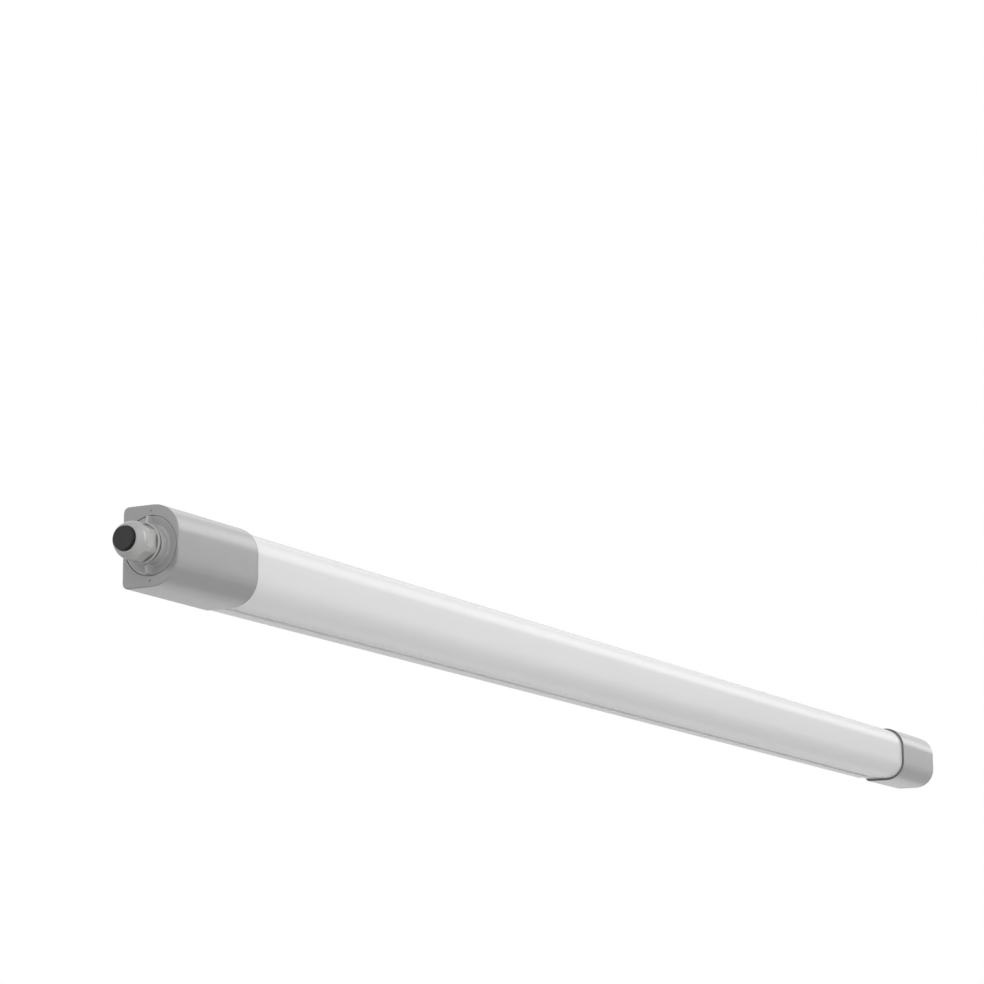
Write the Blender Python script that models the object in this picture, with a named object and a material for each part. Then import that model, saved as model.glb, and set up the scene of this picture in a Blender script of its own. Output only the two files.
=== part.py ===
"""Sensor luminaire for damp rooms: an opal LED tube between two moulded end caps.

X runs along the light from the feed end to the blind end, Y towards the wall, Z up.
The origin is the middle of the mounting plane. Lengths are in metres.
"""
import math

import bmesh
import bpy
from mathutils import Matrix, Vector

# Whole light
TOTAL_LENGTH = 1.470
HEIGHT = 0.055
DEPTH = 0.0435
FRONT_RADIUS = 0.020
BACK_RADIUS = 0.0040
INNER_RADIUS = 0.0010
GAP = 0.0003
OVERRUN = 0.0010
FRONT_STEPS = 8
BACK_STEPS = 4
ROUND_STEPS = 48
SMALL_STEPS = 20
SEAL_STEPS = 8

# End caps
CAP_LENGTH = 0.096
CAP_WALL = 0.0022
CAP_END_WALL = 0.0025
CAP_DRAFT = 0.0003
CAP_EDGE_RADIUS = 0.0008
CAP_EDGE_STEPS = 3
LIP_WALL = 0.0008
SOCKET_DEPTH = 0.020
MARK_RADIUS = 0.0007
MARK_DEPTH = 0.0006
MARK_OFFSET = 0.0031
RIB_THICKNESS = 0.0016
RIB_HEIGHT = 0.0060

# Opal tube
TUBE_INSET = 0.0020
TUBE_BACK_INSET = 0.0020
TUBE_WALL = 0.0018
TUBE_INSERTION = 0.0165
BAND_WIDTH = 0.0085
BAND_RISE = 0.0013
BAND_CHAMFER = 0.0005
GROOVE_WIDTH = 0.0012
GROOVE_DEPTH = 0.0008
CLIP_ENTRY_LENGTH = 0.030
RAIL_THICKNESS = 0.0012
RAIL_REACH = 0.0016

# Tube seals
SEAL_RIM = 0.0005
SEAL_RIM_INSET = 0.0002
SEAL_FLANGE = 0.0015

# Connection disc, measured outwards from the feed cap's end face
DISC_RADIUS = 0.0198
DISC_RIM_WIDTH = 0.0005
DISC_RIM_EDGE = 0.0003
DISC_FLANGE = 0.0019
DISC_PLATE = 0.0020
DISH_DEPTH = 0.0018
DISH_RADIUS = 0.0145
DISH_STEPS = 4
BOSS_RADIUS = 0.0125
BOSS_HEIGHT = 0.0050
BOSS_FLARE = 0.0010
BOSS_EDGE = 0.0005
BAR_WIDTH = 0.0080
BAR_RISE = 0.0022
BAR_ROOT_RISE = 0.0043
BAR_END = 0.0013
SKIRT_SETBACK = 0.0025
SKIRT_WALL = 0.0029
SKIRT_DEPTH = 0.0133
LUG_REACH = 0.0016
LUG_THICKNESS = 0.0020
LUG_COUNT = 3
LUG_ANGLE = math.radians(24.0)
NOTCH_CLEARANCE_ANGLE = math.radians(5.0)
UNLOCK_ANGLE = math.radians(45.0)
COLLAR_WALL = 0.0034
SEAL_RING_RADIUS = 0.0009
SEAL_RING_DEPTH = 0.0052
SEAL_GROOVE_FLOOR = 0.0003
BORE_CLEARANCE = 0.00055
NOTCH_STEPS = 4
BORE_STEPS = 12

# Cable gland, an M20 size
GLAND_THREAD_RADIUS = 0.0099
GLAND_FLANGE_RADIUS = 0.0122
GLAND_FLANGE = 0.0020
GLAND_TUBE_RADIUS = 0.0106
GLAND_TUBE_TOP = 0.0165
FINGER_TOP = 0.0225
FINGER_TIP_RADIUS = 0.0100
FINGER_SLIT = 0.0012
FINGER_COUNT = 8
GLAND_SEAT_TOP = 0.0095
GLAND_SEAT_RADIUS = 0.0090
GLAND_BORE_RADIUS = 0.0076
GLAND_INNER_END = -0.0115
INSERT_WALL = 0.0018
INSERT_TOP = 0.0235
LOCKNUT_CLEARANCE = 0.00054
LOCKNUT_THICKNESS = 0.0042
NUT_COLLAR_RADIUS = 0.0138
NUT_START = 0.0088
NUT_COLLAR_TOP = 0.0108
NUT_FLATS = 0.0240
NUT_FLATS_TOP = 0.0212
NUT_CORNER_RADIUS = 0.0130
NUT_SHOULDER = 0.0185
NUT_BULGE = 0.0255
NUT_BULGE_RADIUS = 0.0118
NUT_DOME_END = 0.0293
NUT_DOME_END_RADIUS = 0.0095
NUT_TOP = 0.0300
NUT_MOUTH_RADIUS = 0.0083
NUT_MOUTH_EDGE = 0.0004
NUT_LEDGE = 0.0015
NUT_LEDGE_RADIUS = 0.0075
NUT_CONE_RADIUS = 0.0093
NUT_CONE_DEPTH = 0.0035
NUT_THREAD_RADIUS = 0.0109
NUT_DOME_STEPS = 6
HEXAGON_SIDES = 6
PLUG_STEM_RADIUS = 0.0065
PLUG_STEM_START = 0.0105
PLUG_HEAD_RADIUS = 0.0080
PLUG_HEAD_START = 0.0281
PLUG_TOP = 0.0314
PLUG_EDGE = 0.0004

# Gear tray, an aluminium profile in the tube's rails
TRAY_FRONT = 0.0205
TRAY_SHEET = 0.0012
TRAY_LEG_SPACING = 0.0320
TRAY_LEG_HEIGHT = 0.0080
TRAY_END_MARGIN = 0.0060
WEB_HOLE_RADIUS = 0.0025

# Tray holders
HOLDER_WALL = 0.0020
HOLDER_LENGTH = 0.0300
HOLDER_OVERLAP = 0.0120
HOLDER_SETBACK = 0.0005
WINDOW_MARGIN = 0.0070
SHELF_LENGTH = 0.0200

# Supply terminal behind the disc
TERMINAL_POLES = 3
POLE_PITCH = 0.0072
TERMINAL_WALL = 0.0014
TERMINAL_LENGTH = 0.0180
TERMINAL_HEIGHT = 0.0130
TERMINAL_START = 0.0240
ENTRY_RADIUS = 0.0017
ENTRY_FUNNEL = 0.0024
ENTRY_FUNNEL_RADIUS = 0.0024
ENTRY_DEPTH = 0.0080
ENTRY_OFFSET = 0.0026
REAR_ENTRY_DEPTH = 0.0040
BUTTON_WIDTH = 0.0044
BUTTON_HEIGHT = 0.0036
BUTTON_LENGTH = 0.0056
BUTTON_PROUD = 0.0022
BUTTON_TRAVEL = 0.0012
BUTTON_OFFSET = 0.0033
CONTACT_THICKNESS = 0.0006
CONTACT_WIDTH = 0.0012

# LED boards
BOARD_COUNT = 4
BOARD_GAP = 0.0040
BOARDS_START_MARGIN = 0.0200
BOARDS_END_MARGIN = 0.0155
BOARD_WIDTH = 0.0200
BOARD_THICKNESS = 0.0010
LED_COUNT = 14
LED_LENGTH = 0.0035
LED_WIDTH = 0.0028
LED_HEIGHT = 0.0007
LINK_LENGTH = 0.0120
LINK_WIDTH = 0.0060
LINK_HEIGHT = 0.0030

# Driver behind the tray
DRIVER_MARGIN = 0.1495
DRIVER_LENGTH = 0.230
DRIVER_WIDTH = 0.0250
DRIVER_HEIGHT = 0.0145
DRIVER_SHEET = 0.0010
DRIVER_SKIRT_START = 0.0040
DRIVER_FOOT = 0.0100
DRIVER_TERMINAL_LENGTH = 0.0120
DRIVER_TERMINAL_WIDTH = 0.0180
DRIVER_TERMINAL_HEIGHT = 0.0075
DRIVER_ENTRY_DEPTH = 0.0050
DRIVER_POLE_PITCH = 0.0055
SCREW_HEAD_RADIUS = 0.0029
SCREW_HEAD_HEIGHT = 0.0018
SCREW_SHANK_RADIUS = 0.0015
SCREW_RECESS = 0.0008
SCREW_RECESS_RADIUS = 0.0012

# Earth point on the tray
EARTH_MARGIN = 0.0495
TAG_RADIUS = 0.0036
TAG_THICKNESS = 0.0008
TAG_BARREL_LENGTH = 0.0060

# Microwave sensor on the front of the tray
SENSOR_MARGIN = 0.0215
SENSOR_END_EDGE = 0.0020
SENSOR_WIDTH = 0.034
SENSOR_BASE = 0.0012
SENSOR_POST = 0.0030
SENSOR_POST_RADIUS = 0.0018
SENSOR_BOARD_THICKNESS = 0.0012
SENSOR_HOLE_MARGIN = 0.0100
ANTENNA_SETBACK = 0.0045
ANTENNA_WIDTH = 0.026
ANTENNA_THICKNESS = 0.0014
PATCH_WIDTH = 0.018
PATCH_THICKNESS = 0.0004
SHIELD_SETBACK = 0.0040
SHIELD_LENGTH = 0.012
SHIELD_WIDTH = 0.014
SHIELD_HEIGHT = 0.0026
SHIELD_WALL = 0.0005
DIAL_MARGIN = 0.0100
DIAL_RADIUS = 0.0030
DIAL_HEIGHT = 0.0024
DIAL_SLOT = 0.0008
DIAL_SLOT_DEPTH = 0.0010
DIAL_PITCH = 0.0095
DIAL_COUNT = 3
DIAL_BASE_WIDTH = 0.0070
DIAL_BASE_HEIGHT = 0.0020

# Wires
WIRE_RADIUS = 0.0011
LEAD_RADIUS = 0.0009
WIRE_BEND = 0.0040
LEAD_RUN = 0.0180
BEND_STEPS = 4

# Places worked out from the sizes above
FEED_X = -TOTAL_LENGTH / 2
BLIND_X = TOTAL_LENGTH / 2
AXIS_Y = -(DEPTH - CAP_DRAFT) / 2
TUBE_END = TOTAL_LENGTH / 2 - CAP_LENGTH + TUBE_INSERTION
CAP_RIM = CAP_LENGTH - SEAL_RIM - GAP
TUBE_HALF_HEIGHT = HEIGHT / 2 - TUBE_INSET
TUBE_INNER_HALF = TUBE_HALF_HEIGHT - TUBE_WALL
TRAY_BACK_Y = -TRAY_FRONT + TRAY_SHEET
TRAY_END = TUBE_END - TRAY_END_MARGIN
TRAY_START = -TRAY_END
TRAY_HALF_WIDTH = TUBE_INNER_HALF - GAP
HOLDER_HALF_WIDTH = TRAY_LEG_SPACING / 2 - GAP
HOLDER_FRONT_Y = -TRAY_FRONT - GAP - HOLDER_WALL
HOLDER_PLATE_Y = TRAY_BACK_Y + GAP + HOLDER_WALL
SKIRT_RADIUS = DISC_RADIUS - SKIRT_SETBACK
LOCKNUT_FLATS = (SKIRT_RADIUS - SKIRT_WALL - LOCKNUT_CLEARANCE) * math.sqrt(3)
TERMINAL_X = FEED_X + TERMINAL_START
WIRES_LEAVE = TERMINAL_X + TERMINAL_LENGTH + WIRE_BEND
WIRES_UNDER = WIRES_LEAVE + 3 * WIRE_BEND
FEED_HOLDER_START = TERMINAL_X + HOLDER_SETBACK
FEED_HOLDER_LENGTH = TRAY_START + HOLDER_OVERLAP - FEED_HOLDER_START
BUTTON_Y = AXIS_Y - BUTTON_OFFSET
ENTRY_Y = AXIS_Y + ENTRY_OFFSET
POLE_PLACES = [POLE_PITCH * (pole - (TERMINAL_POLES - 1) / 2) for pole in range(TERMINAL_POLES)]
BOARD_BACK_Y = -TRAY_FRONT - GAP
BOARD_FRONT_Y = BOARD_BACK_Y - BOARD_THICKNESS
DRIVER_START = TRAY_START + DRIVER_MARGIN
DRIVER_END = DRIVER_START + DRIVER_LENGTH
DRIVER_BACK_Y = TRAY_BACK_Y + GAP
DRIVER_ENTRY_Y = DRIVER_BACK_Y + DRIVER_SHEET + GAP + DRIVER_TERMINAL_HEIGHT / 2
DRIVER_POLES = (-DRIVER_POLE_PITCH, 0.0, DRIVER_POLE_PITCH)
DRIVER_OUTPUT_POLES = (DRIVER_POLE_PITCH, -DRIVER_POLE_PITCH)
SCREW_PLACES = (DRIVER_START + DRIVER_FOOT / 2, DRIVER_END - DRIVER_FOOT / 2)
EARTH_X = TRAY_START + EARTH_MARGIN
TAG_BARREL_Y = TRAY_BACK_Y + GAP + TAG_THICKNESS + WIRE_RADIUS + GAP
SENSOR_START = TRAY_START + SENSOR_MARGIN
DIAL_X = SENSOR_START + DIAL_MARGIN
ANTENNA_X = DIAL_X + DIAL_BASE_WIDTH / 2 + ANTENNA_SETBACK + ANTENNA_WIDTH / 2
SHIELD_X = ANTENNA_X + ANTENNA_WIDTH / 2 + SHIELD_SETBACK + SHIELD_LENGTH / 2
SENSOR_END = SHIELD_X + SHIELD_LENGTH / 2 + SENSOR_END_EDGE
SENSOR_BASE_Y = -TRAY_FRONT - GAP
SENSOR_FRONT_Y = SENSOR_BASE_Y - SENSOR_BASE - SENSOR_POST - GAP - SENSOR_BOARD_THICKNESS
SENSOR_HOLE_X = SENSOR_END + SENSOR_HOLE_MARGIN
DIAL_PLACES = [DIAL_PITCH * (dial - (DIAL_COUNT - 1) / 2) for dial in range(DIAL_COUNT)]
BOARDS_START = SENSOR_END + BOARDS_START_MARGIN
BOARDS_END = TRAY_END - BOARDS_END_MARGIN
BOARDS_CENTRE = (BOARDS_START + BOARDS_END) / 2
BOARD_LENGTH = (BOARDS_END - BOARDS_START - BOARD_GAP * (BOARD_COUNT - 1)) / BOARD_COUNT
BOARD_SPACING = BOARD_LENGTH + BOARD_GAP
LEAD_HOLE_X = DRIVER_END + LEAD_RUN
LEAD_HOLE_Z = BOARD_WIDTH / 2 + WEB_HOLE_RADIUS + GAP


def clear_scene():
    """Remove whatever the file opened with."""
    for item in list(bpy.data.objects):
        bpy.data.objects.remove(item, do_unlink=True)


def material(name, colour, roughness, metallic=0.0):
    """One plain Principled material."""
    result = bpy.data.materials.new(name)
    result.use_nodes = True
    shader = result.node_tree.nodes["Principled BSDF"]
    shader.inputs["Base Color"].default_value = (*colour, 1.0)
    shader.inputs["Roughness"].default_value = roughness
    shader.inputs["Metallic"].default_value = metallic
    return result


def add_object(name, mesh, finish=None, parent=None, place=(0.0, 0.0, 0.0)):
    """Put a mesh in the scene under a name."""
    item = bpy.data.objects.new(name, mesh)
    bpy.context.scene.collection.objects.link(item)
    if finish is not None:
        mesh.materials.append(finish)
    item.parent = parent
    item.location = place
    return item


def finish_mesh(name, bm, smooth_angle=None):
    """Turn an edit mesh into a closed mesh with its faces pointing out."""
    bmesh.ops.remove_doubles(bm, verts=bm.verts, dist=GAP / 100)
    bmesh.ops.recalc_face_normals(bm, faces=bm.faces)
    mesh = bpy.data.meshes.new(name)
    bm.to_mesh(mesh)
    bm.free()
    if smooth_angle is not None:
        mesh.shade_smooth()
        mesh.set_sharp_from_angle(angle=smooth_angle)
    return mesh


def loft(name, rings, smooth_angle=None):
    """Skin a chain of equal rings of points and close both ends."""
    bm = bmesh.new()
    loops = [[bm.verts.new(point) for point in ring] for ring in rings]
    for lower, upper in zip(loops, loops[1:]):
        count = len(lower)
        for index in range(count):
            after = (index + 1) % count
            bm.faces.new((lower[index], lower[after], upper[after], upper[index]))
    bm.faces.new(loops[0])
    bm.faces.new(loops[-1])
    return finish_mesh(name, bm, smooth_angle)


def prism(name, outline, start, end, smooth_angle=None):
    """A flat outline of (y, z) points drawn out along X."""
    rings = [[(x, y, z) for y, z in outline] for x in (start, end)]
    return loft(name, rings, smooth_angle)


def block(name, low, high):
    """A straight block between two corners."""
    outline = [(low[1], low[2]), (high[1], low[2]), (high[1], high[2]), (low[1], high[2])]
    return prism(name, outline, low[0], high[0])


def chamfered_block(name, low, high, chamfer):
    """A block whose long edges along X are cut back."""
    outline = [
        (low[1] + chamfer, low[2]),
        (high[1] - chamfer, low[2]),
        (high[1], low[2] + chamfer),
        (high[1], high[2] - chamfer),
        (high[1] - chamfer, high[2]),
        (low[1] + chamfer, high[2]),
        (low[1], high[2] - chamfer),
        (low[1], low[2] + chamfer),
    ]
    return prism(name, outline, low[0], high[0])


def turned(name, profile, steps=ROUND_STEPS, smooth_angle=math.radians(35), closed=True):
    """Turn (x, radius) points round the X axis; a closed profile makes a ring."""
    bm = bmesh.new()
    rings = []
    for x, radius in profile:
        if radius <= 0.0:
            rings.append([bm.verts.new((x, 0.0, 0.0))])
            continue
        angles = [2 * math.pi * step / steps for step in range(steps)]
        rings.append([bm.verts.new((x, radius * math.cos(a), radius * math.sin(a))) for a in angles])
    pairs = list(zip(rings, rings[1:]))
    if closed:
        pairs.append((rings[-1], rings[0]))
    for lower, upper in pairs:
        for step in range(steps):
            after = (step + 1) % steps
            corners = [lower[step % len(lower)], lower[after % len(lower)]]
            corners += [upper[after % len(upper)], upper[step % len(upper)]]
            unique = list(dict.fromkeys(corners))
            if len(unique) > 2:
                bm.faces.new(unique)
    return finish_mesh(name, bm, smooth_angle)


def join_meshes(name, meshes):
    """Collect separate bodies in one mesh."""
    bm = bmesh.new()
    for mesh in meshes:
        bm.from_mesh(mesh)
    result = bpy.data.meshes.new(name)
    bm.to_mesh(result)
    bm.free()
    return result


def moved(mesh, matrix):
    """A copy of a mesh under a transform."""
    result = mesh.copy()
    result.transform(matrix)
    return result


def boolean(item, name, mesh, operation, parent=None, place=(0.0, 0.0, 0.0)):
    """Cut or join a guide mesh with an object."""
    guide = add_object(name, mesh, parent=parent, place=place)
    guide.hide_render = True
    guide.display_type = "WIRE"
    modifier = item.modifiers.new(name, "BOOLEAN")
    modifier.operation = operation
    modifier.object = guide
    modifier.solver = "EXACT"


def cut(item, name, mesh, parent=None, place=(0.0, 0.0, 0.0)):
    boolean(item, name, mesh, "DIFFERENCE", parent, place)


def unite(item, name, mesh, parent=None, place=(0.0, 0.0, 0.0)):
    boolean(item, name, mesh, "UNION", parent, place)


def arc(centre, radius, start, end, steps):
    """Points on an arc in the (y, z) plane."""
    points = []
    for step in range(steps + 1):
        angle = start + (end - start) * step / steps
        points.append((centre[0] + radius * math.cos(angle), centre[1] + radius * math.sin(angle)))
    return points


def side_points(half_height, front_y, back_y, front_radius, back_radius, extra=()):
    """The upper half of the housing's outline, from the front face to the back face."""
    points = arc(
        (front_y + front_radius, half_height - front_radius),
        front_radius, math.pi, math.pi / 2, FRONT_STEPS,
    )
    points += list(extra)
    points += arc(
        (back_y - back_radius, half_height - back_radius),
        back_radius, math.pi / 2, 0.0, BACK_STEPS,
    )
    return points


def mirrored(points):
    """A closed outline from its upper half."""
    return points + [(y, -z) for y, z in reversed(points)]


def housing_outline(inset, back_inset, draft=0.0):
    """The housing's outline, drawn in by an inset; the draft leaves the mounting plane alone."""
    front_y = -(DEPTH - inset - draft)
    half_height = HEIGHT / 2 - inset - draft
    front_radius = FRONT_RADIUS - inset
    back_radius = max(BACK_RADIUS - inset, INNER_RADIUS)
    return mirrored(side_points(half_height, front_y, -back_inset, front_radius, back_radius))


def housing_ring(distance, inset, back_inset, side, draft=0.0):
    """One ring of an end cap, at a distance from its outer end."""
    x = side * (TOTAL_LENGTH / 2 - distance)
    return [(x, y, z) for y, z in housing_outline(inset, back_inset, draft)]


def cap_shell(name, side, finish):
    """A drafted, hollow cap with a thin lip over the tube."""
    rings = []
    for step in range(CAP_EDGE_STEPS + 1):
        angle = math.pi / 2 * step / CAP_EDGE_STEPS
        inset = CAP_EDGE_RADIUS * (1 - math.sin(angle))
        distance = CAP_EDGE_RADIUS * (1 - math.cos(angle))
        rings.append(housing_ring(distance, inset, inset, side, CAP_DRAFT))
    rings.append(housing_ring(CAP_RIM, 0.0, 0.0, side))
    cap = add_object(name, loft(name, rings, math.radians(28)), finish)
    inner_end = CAP_END_WALL
    shoulder = CAP_LENGTH - SOCKET_DEPTH
    hollow = [
        housing_ring(inner_end, CAP_WALL, CAP_WALL, side, CAP_DRAFT),
        housing_ring(shoulder, CAP_WALL, CAP_WALL, side),
        housing_ring(shoulder, LIP_WALL, LIP_WALL, side),
        housing_ring(CAP_LENGTH + OVERRUN, LIP_WALL, LIP_WALL, side),
    ]
    cut(cap, name + "_hollow", loft(name + "_hollow", hollow))
    return cap


def sector_outline(inner_radius, outer_radius, middle, width, steps=4):
    """A piece of a ring as (y, z) points."""
    start = middle - width / 2
    end = middle + width / 2
    outer = arc((0.0, 0.0), outer_radius, start, end, steps)
    inner = arc((0.0, 0.0), inner_radius, end, start, steps)
    return outer + inner


def keyway_outline(bore):
    """The bore of the cap's collar with a notch for each lug, turned to the open position."""
    notch_radius = SKIRT_RADIUS + LUG_REACH + GAP
    notch_width = LUG_ANGLE + 2 * NOTCH_CLEARANCE_ANGLE
    spacing = 2 * math.pi / LUG_COUNT
    outline = []
    for index in range(LUG_COUNT):
        start = spacing * index + UNLOCK_ANGLE - notch_width / 2
        outline += arc((0.0, 0.0), notch_radius, start, start + notch_width, NOTCH_STEPS)
        outline += arc((0.0, 0.0), bore, start + notch_width, start + spacing, BORE_STEPS)
    return outline


def feed_end_cap(finish, axis):
    """The cap with the round opening that the connection disc locks into."""
    cap = cap_shell("feed_end_cap", -1, finish)
    bore = SKIRT_RADIUS + BORE_CLEARANCE
    collar_end = -(SKIRT_DEPTH - LUG_THICKNESS - GAP)
    collar_profile = [
        (-CAP_END_WALL + OVERRUN, bore - OVERRUN),
        (-CAP_END_WALL + OVERRUN, bore + COLLAR_WALL),
        (collar_end, bore + COLLAR_WALL),
        (collar_end, bore - OVERRUN),
    ]
    collar = turned("feed_collar", collar_profile)
    limit = add_object("collar_limit", collar_limit_mesh(), parent=None)
    limit.hide_render = True
    limit.display_type = "WIRE"
    guide = add_object("feed_collar", collar, parent=axis)
    guide.hide_render = True
    guide.display_type = "WIRE"
    trim = guide.modifiers.new("collar_trim", "BOOLEAN")
    trim.operation = "INTERSECT"
    trim.object = limit
    trim.solver = "EXACT"
    joined = cap.modifiers.new("feed_collar", "BOOLEAN")
    joined.operation = "UNION"
    joined.object = guide
    joined.solver = "EXACT"
    recess = [
        (OVERRUN, 0.0),
        (OVERRUN, DISC_RADIUS + GAP),
        (-DISC_FLANGE - GAP, DISC_RADIUS + GAP),
        (-DISC_FLANGE - GAP, 0.0),
    ]
    mark = [
        (OVERRUN, 0.0),
        (OVERRUN, MARK_RADIUS),
        (-MARK_DEPTH, MARK_RADIUS),
        (-MARK_DEPTH, 0.0),
    ]
    hollows = [turned("feed_recess", recess, closed=False)]
    for side in (-1, 1):
        offset = Matrix.Translation((0.0, 0.0, side * (DISC_RADIUS + MARK_OFFSET)))
        hollows.append(moved(turned("index_mark", mark, SMALL_STEPS, closed=False), offset))
    cut(cap, "feed_recess", join_meshes("feed_recess", hollows), axis)
    keyway = prism("feed_keyway", keyway_outline(bore), collar_end - OVERRUN, -DISC_FLANGE)
    cut(cap, "feed_keyway", keyway, axis)
    return cap


def collar_limit_mesh():
    """The space inside the cap's outer skin, which trims the collar."""
    rings = [
        housing_ring(OVERRUN, LIP_WALL, LIP_WALL, -1, CAP_DRAFT),
        housing_ring(CAP_LENGTH / 2, LIP_WALL, LIP_WALL, -1, CAP_DRAFT),
    ]
    return loft("collar_limit", rings)


def blind_end_cap(finish):
    """The closed cap, stiffened inside its end wall by two ribs."""
    cap = cap_shell("blind_end_cap", 1, finish)
    reach = HEIGHT / 2 - CAP_WALL
    rib_x = BLIND_X - CAP_END_WALL
    for index, side in enumerate((-1, 1)):
        z = side * reach / 2
        low = (rib_x - RIB_HEIGHT, -DEPTH + CAP_WALL + CAP_DRAFT - OVERRUN / 2, z - RIB_THICKNESS / 2)
        high = (rib_x + OVERRUN, -CAP_WALL + OVERRUN / 2, z + RIB_THICKNESS / 2)
        name = f"blind_rib_{index + 1}"
        unite(cap, name, block(name, low, high))
    return cap


def tube_outline():
    """The tube's outline: a raised band and a groove on each side near the back."""
    half = TUBE_HALF_HEIGHT
    back_radius = max(BACK_RADIUS - TUBE_BACK_INSET, INNER_RADIUS)
    band_back = -TUBE_BACK_INSET - back_radius
    band_front = band_back - BAND_WIDTH
    groove_front = band_front - GROOVE_WIDTH
    extra = [
        (groove_front, half),
        (groove_front, half - GROOVE_DEPTH),
        (band_front, half - GROOVE_DEPTH),
        (band_front, half + BAND_RISE - BAND_CHAMFER),
        (band_front + BAND_CHAMFER, half + BAND_RISE),
    ]
    top = side_points(
        half, -(DEPTH - TUBE_INSET), -TUBE_BACK_INSET,
        FRONT_RADIUS - TUBE_INSET, back_radius,
    )
    front = top[:FRONT_STEPS + 1]
    back = [(y, z + BAND_RISE) for y, z in top[FRONT_STEPS + 1:]]
    return mirrored(front + extra + back)


def diffuser_tube(finish):
    """The opal extrusion with inner rails for the tray."""
    tube = add_object("diffuser_tube", prism("diffuser_tube", tube_outline(), -TUBE_END, TUBE_END,
                                             math.radians(28)), finish)
    inset = TUBE_INSET + TUBE_WALL
    inner = side_points(
        TUBE_INNER_HALF, -(DEPTH - inset), -(TUBE_BACK_INSET + TUBE_WALL),
        FRONT_RADIUS - inset, INNER_RADIUS,
    )
    web_low = -TRAY_FRONT - GAP
    web_high = TRAY_BACK_Y + GAP
    rails = []
    for start in (web_low - RAIL_THICKNESS, web_high):
        rails += [
            (start, TUBE_INNER_HALF),
            (start, TUBE_INNER_HALF - RAIL_REACH),
            (start + RAIL_THICKNESS, TUBE_INNER_HALF - RAIL_REACH),
            (start + RAIL_THICKNESS, TUBE_INNER_HALF),
        ]
    outline = mirrored(inner[:FRONT_STEPS + 1] + rails + inner[FRONT_STEPS + 1:])
    hollow = prism("tube_hollow", outline, -TUBE_END - OVERRUN, TUBE_END + OVERRUN)
    cut(tube, "tube_hollow", hollow)
    ends = {
        "feed": (-TUBE_END - OVERRUN, FEED_X + CAP_LENGTH + GAP),
        "blind": (BLIND_X - CAP_LENGTH - CLIP_ENTRY_LENGTH, TUBE_END + OVERRUN),
    }
    for end_name, (start, end) in ends.items():
        for side_name, side in (("lower", -1), ("upper", 1)):
            name = f"band_end_{end_name}_{side_name}"
            outline = [(y, side * z) for y, z in band_end_outline()]
            cut(tube, name, prism(name, outline, start, end))
    return tube


def band_end_outline():
    """The space over the tube's plain corner, which ends the raised band."""
    radius = max(BACK_RADIUS - TUBE_BACK_INSET, INNER_RADIUS)
    centre = (-TUBE_BACK_INSET - radius, TUBE_HALF_HEIGHT - radius)
    top = TUBE_HALF_HEIGHT + BAND_RISE + OVERRUN
    front = centre[0] - BAND_WIDTH - GROOVE_WIDTH / 2
    corner = arc(centre, radius, math.pi / 2, 0.0, BACK_STEPS)
    return [(front, top), (front, TUBE_HALF_HEIGHT), *corner, (OVERRUN, centre[1]), (OVERRUN, top)]


def cap_gasket(name, side, finish):
    """A seal: a sleeve over the tube's end, a flange behind it and a rim over the lip."""
    sleeve_outer = LIP_WALL + GAP
    sleeve_inner = TUBE_INSET - GAP
    back_inner = TUBE_BACK_INSET - GAP
    rim_start = CAP_RIM + GAP
    shoulder = CAP_LENGTH - SOCKET_DEPTH + GAP
    tube_face = CAP_LENGTH - TUBE_INSERTION - GAP
    flange_face = tube_face - SEAL_FLANGE
    start = max(shoulder, flange_face)
    outer = [
        housing_ring(start, sleeve_outer, sleeve_outer, side),
        housing_ring(rim_start, sleeve_outer, sleeve_outer, side),
        housing_ring(rim_start, SEAL_RIM_INSET, SEAL_RIM_INSET, side),
        housing_ring(CAP_LENGTH, SEAL_RIM_INSET, SEAL_RIM_INSET, side),
    ]
    gasket = add_object(name, loft(name, outer, math.radians(28)), finish)
    reach = TUBE_INSET + TUBE_WALL
    back_reach = TUBE_BACK_INSET + TUBE_WALL
    hollow = [
        housing_ring(start - OVERRUN, reach, back_reach, side),
        housing_ring(tube_face, reach, back_reach, side),
        housing_ring(tube_face, sleeve_inner, back_inner, side),
        housing_ring(CAP_LENGTH + OVERRUN, sleeve_inner, back_inner, side),
    ]
    cut(gasket, name + "_hollow", loft(name + "_hollow", hollow))
    return gasket


def curve_points(start, control, end, steps):
    """Points on a smooth curve between two points, without its first point."""
    points = []
    for step in range(1, steps + 1):
        share = step / steps
        place = start.lerp(control, share).lerp(control.lerp(end, share), share)
        points.append((place.x, place.y))
    return points


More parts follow.
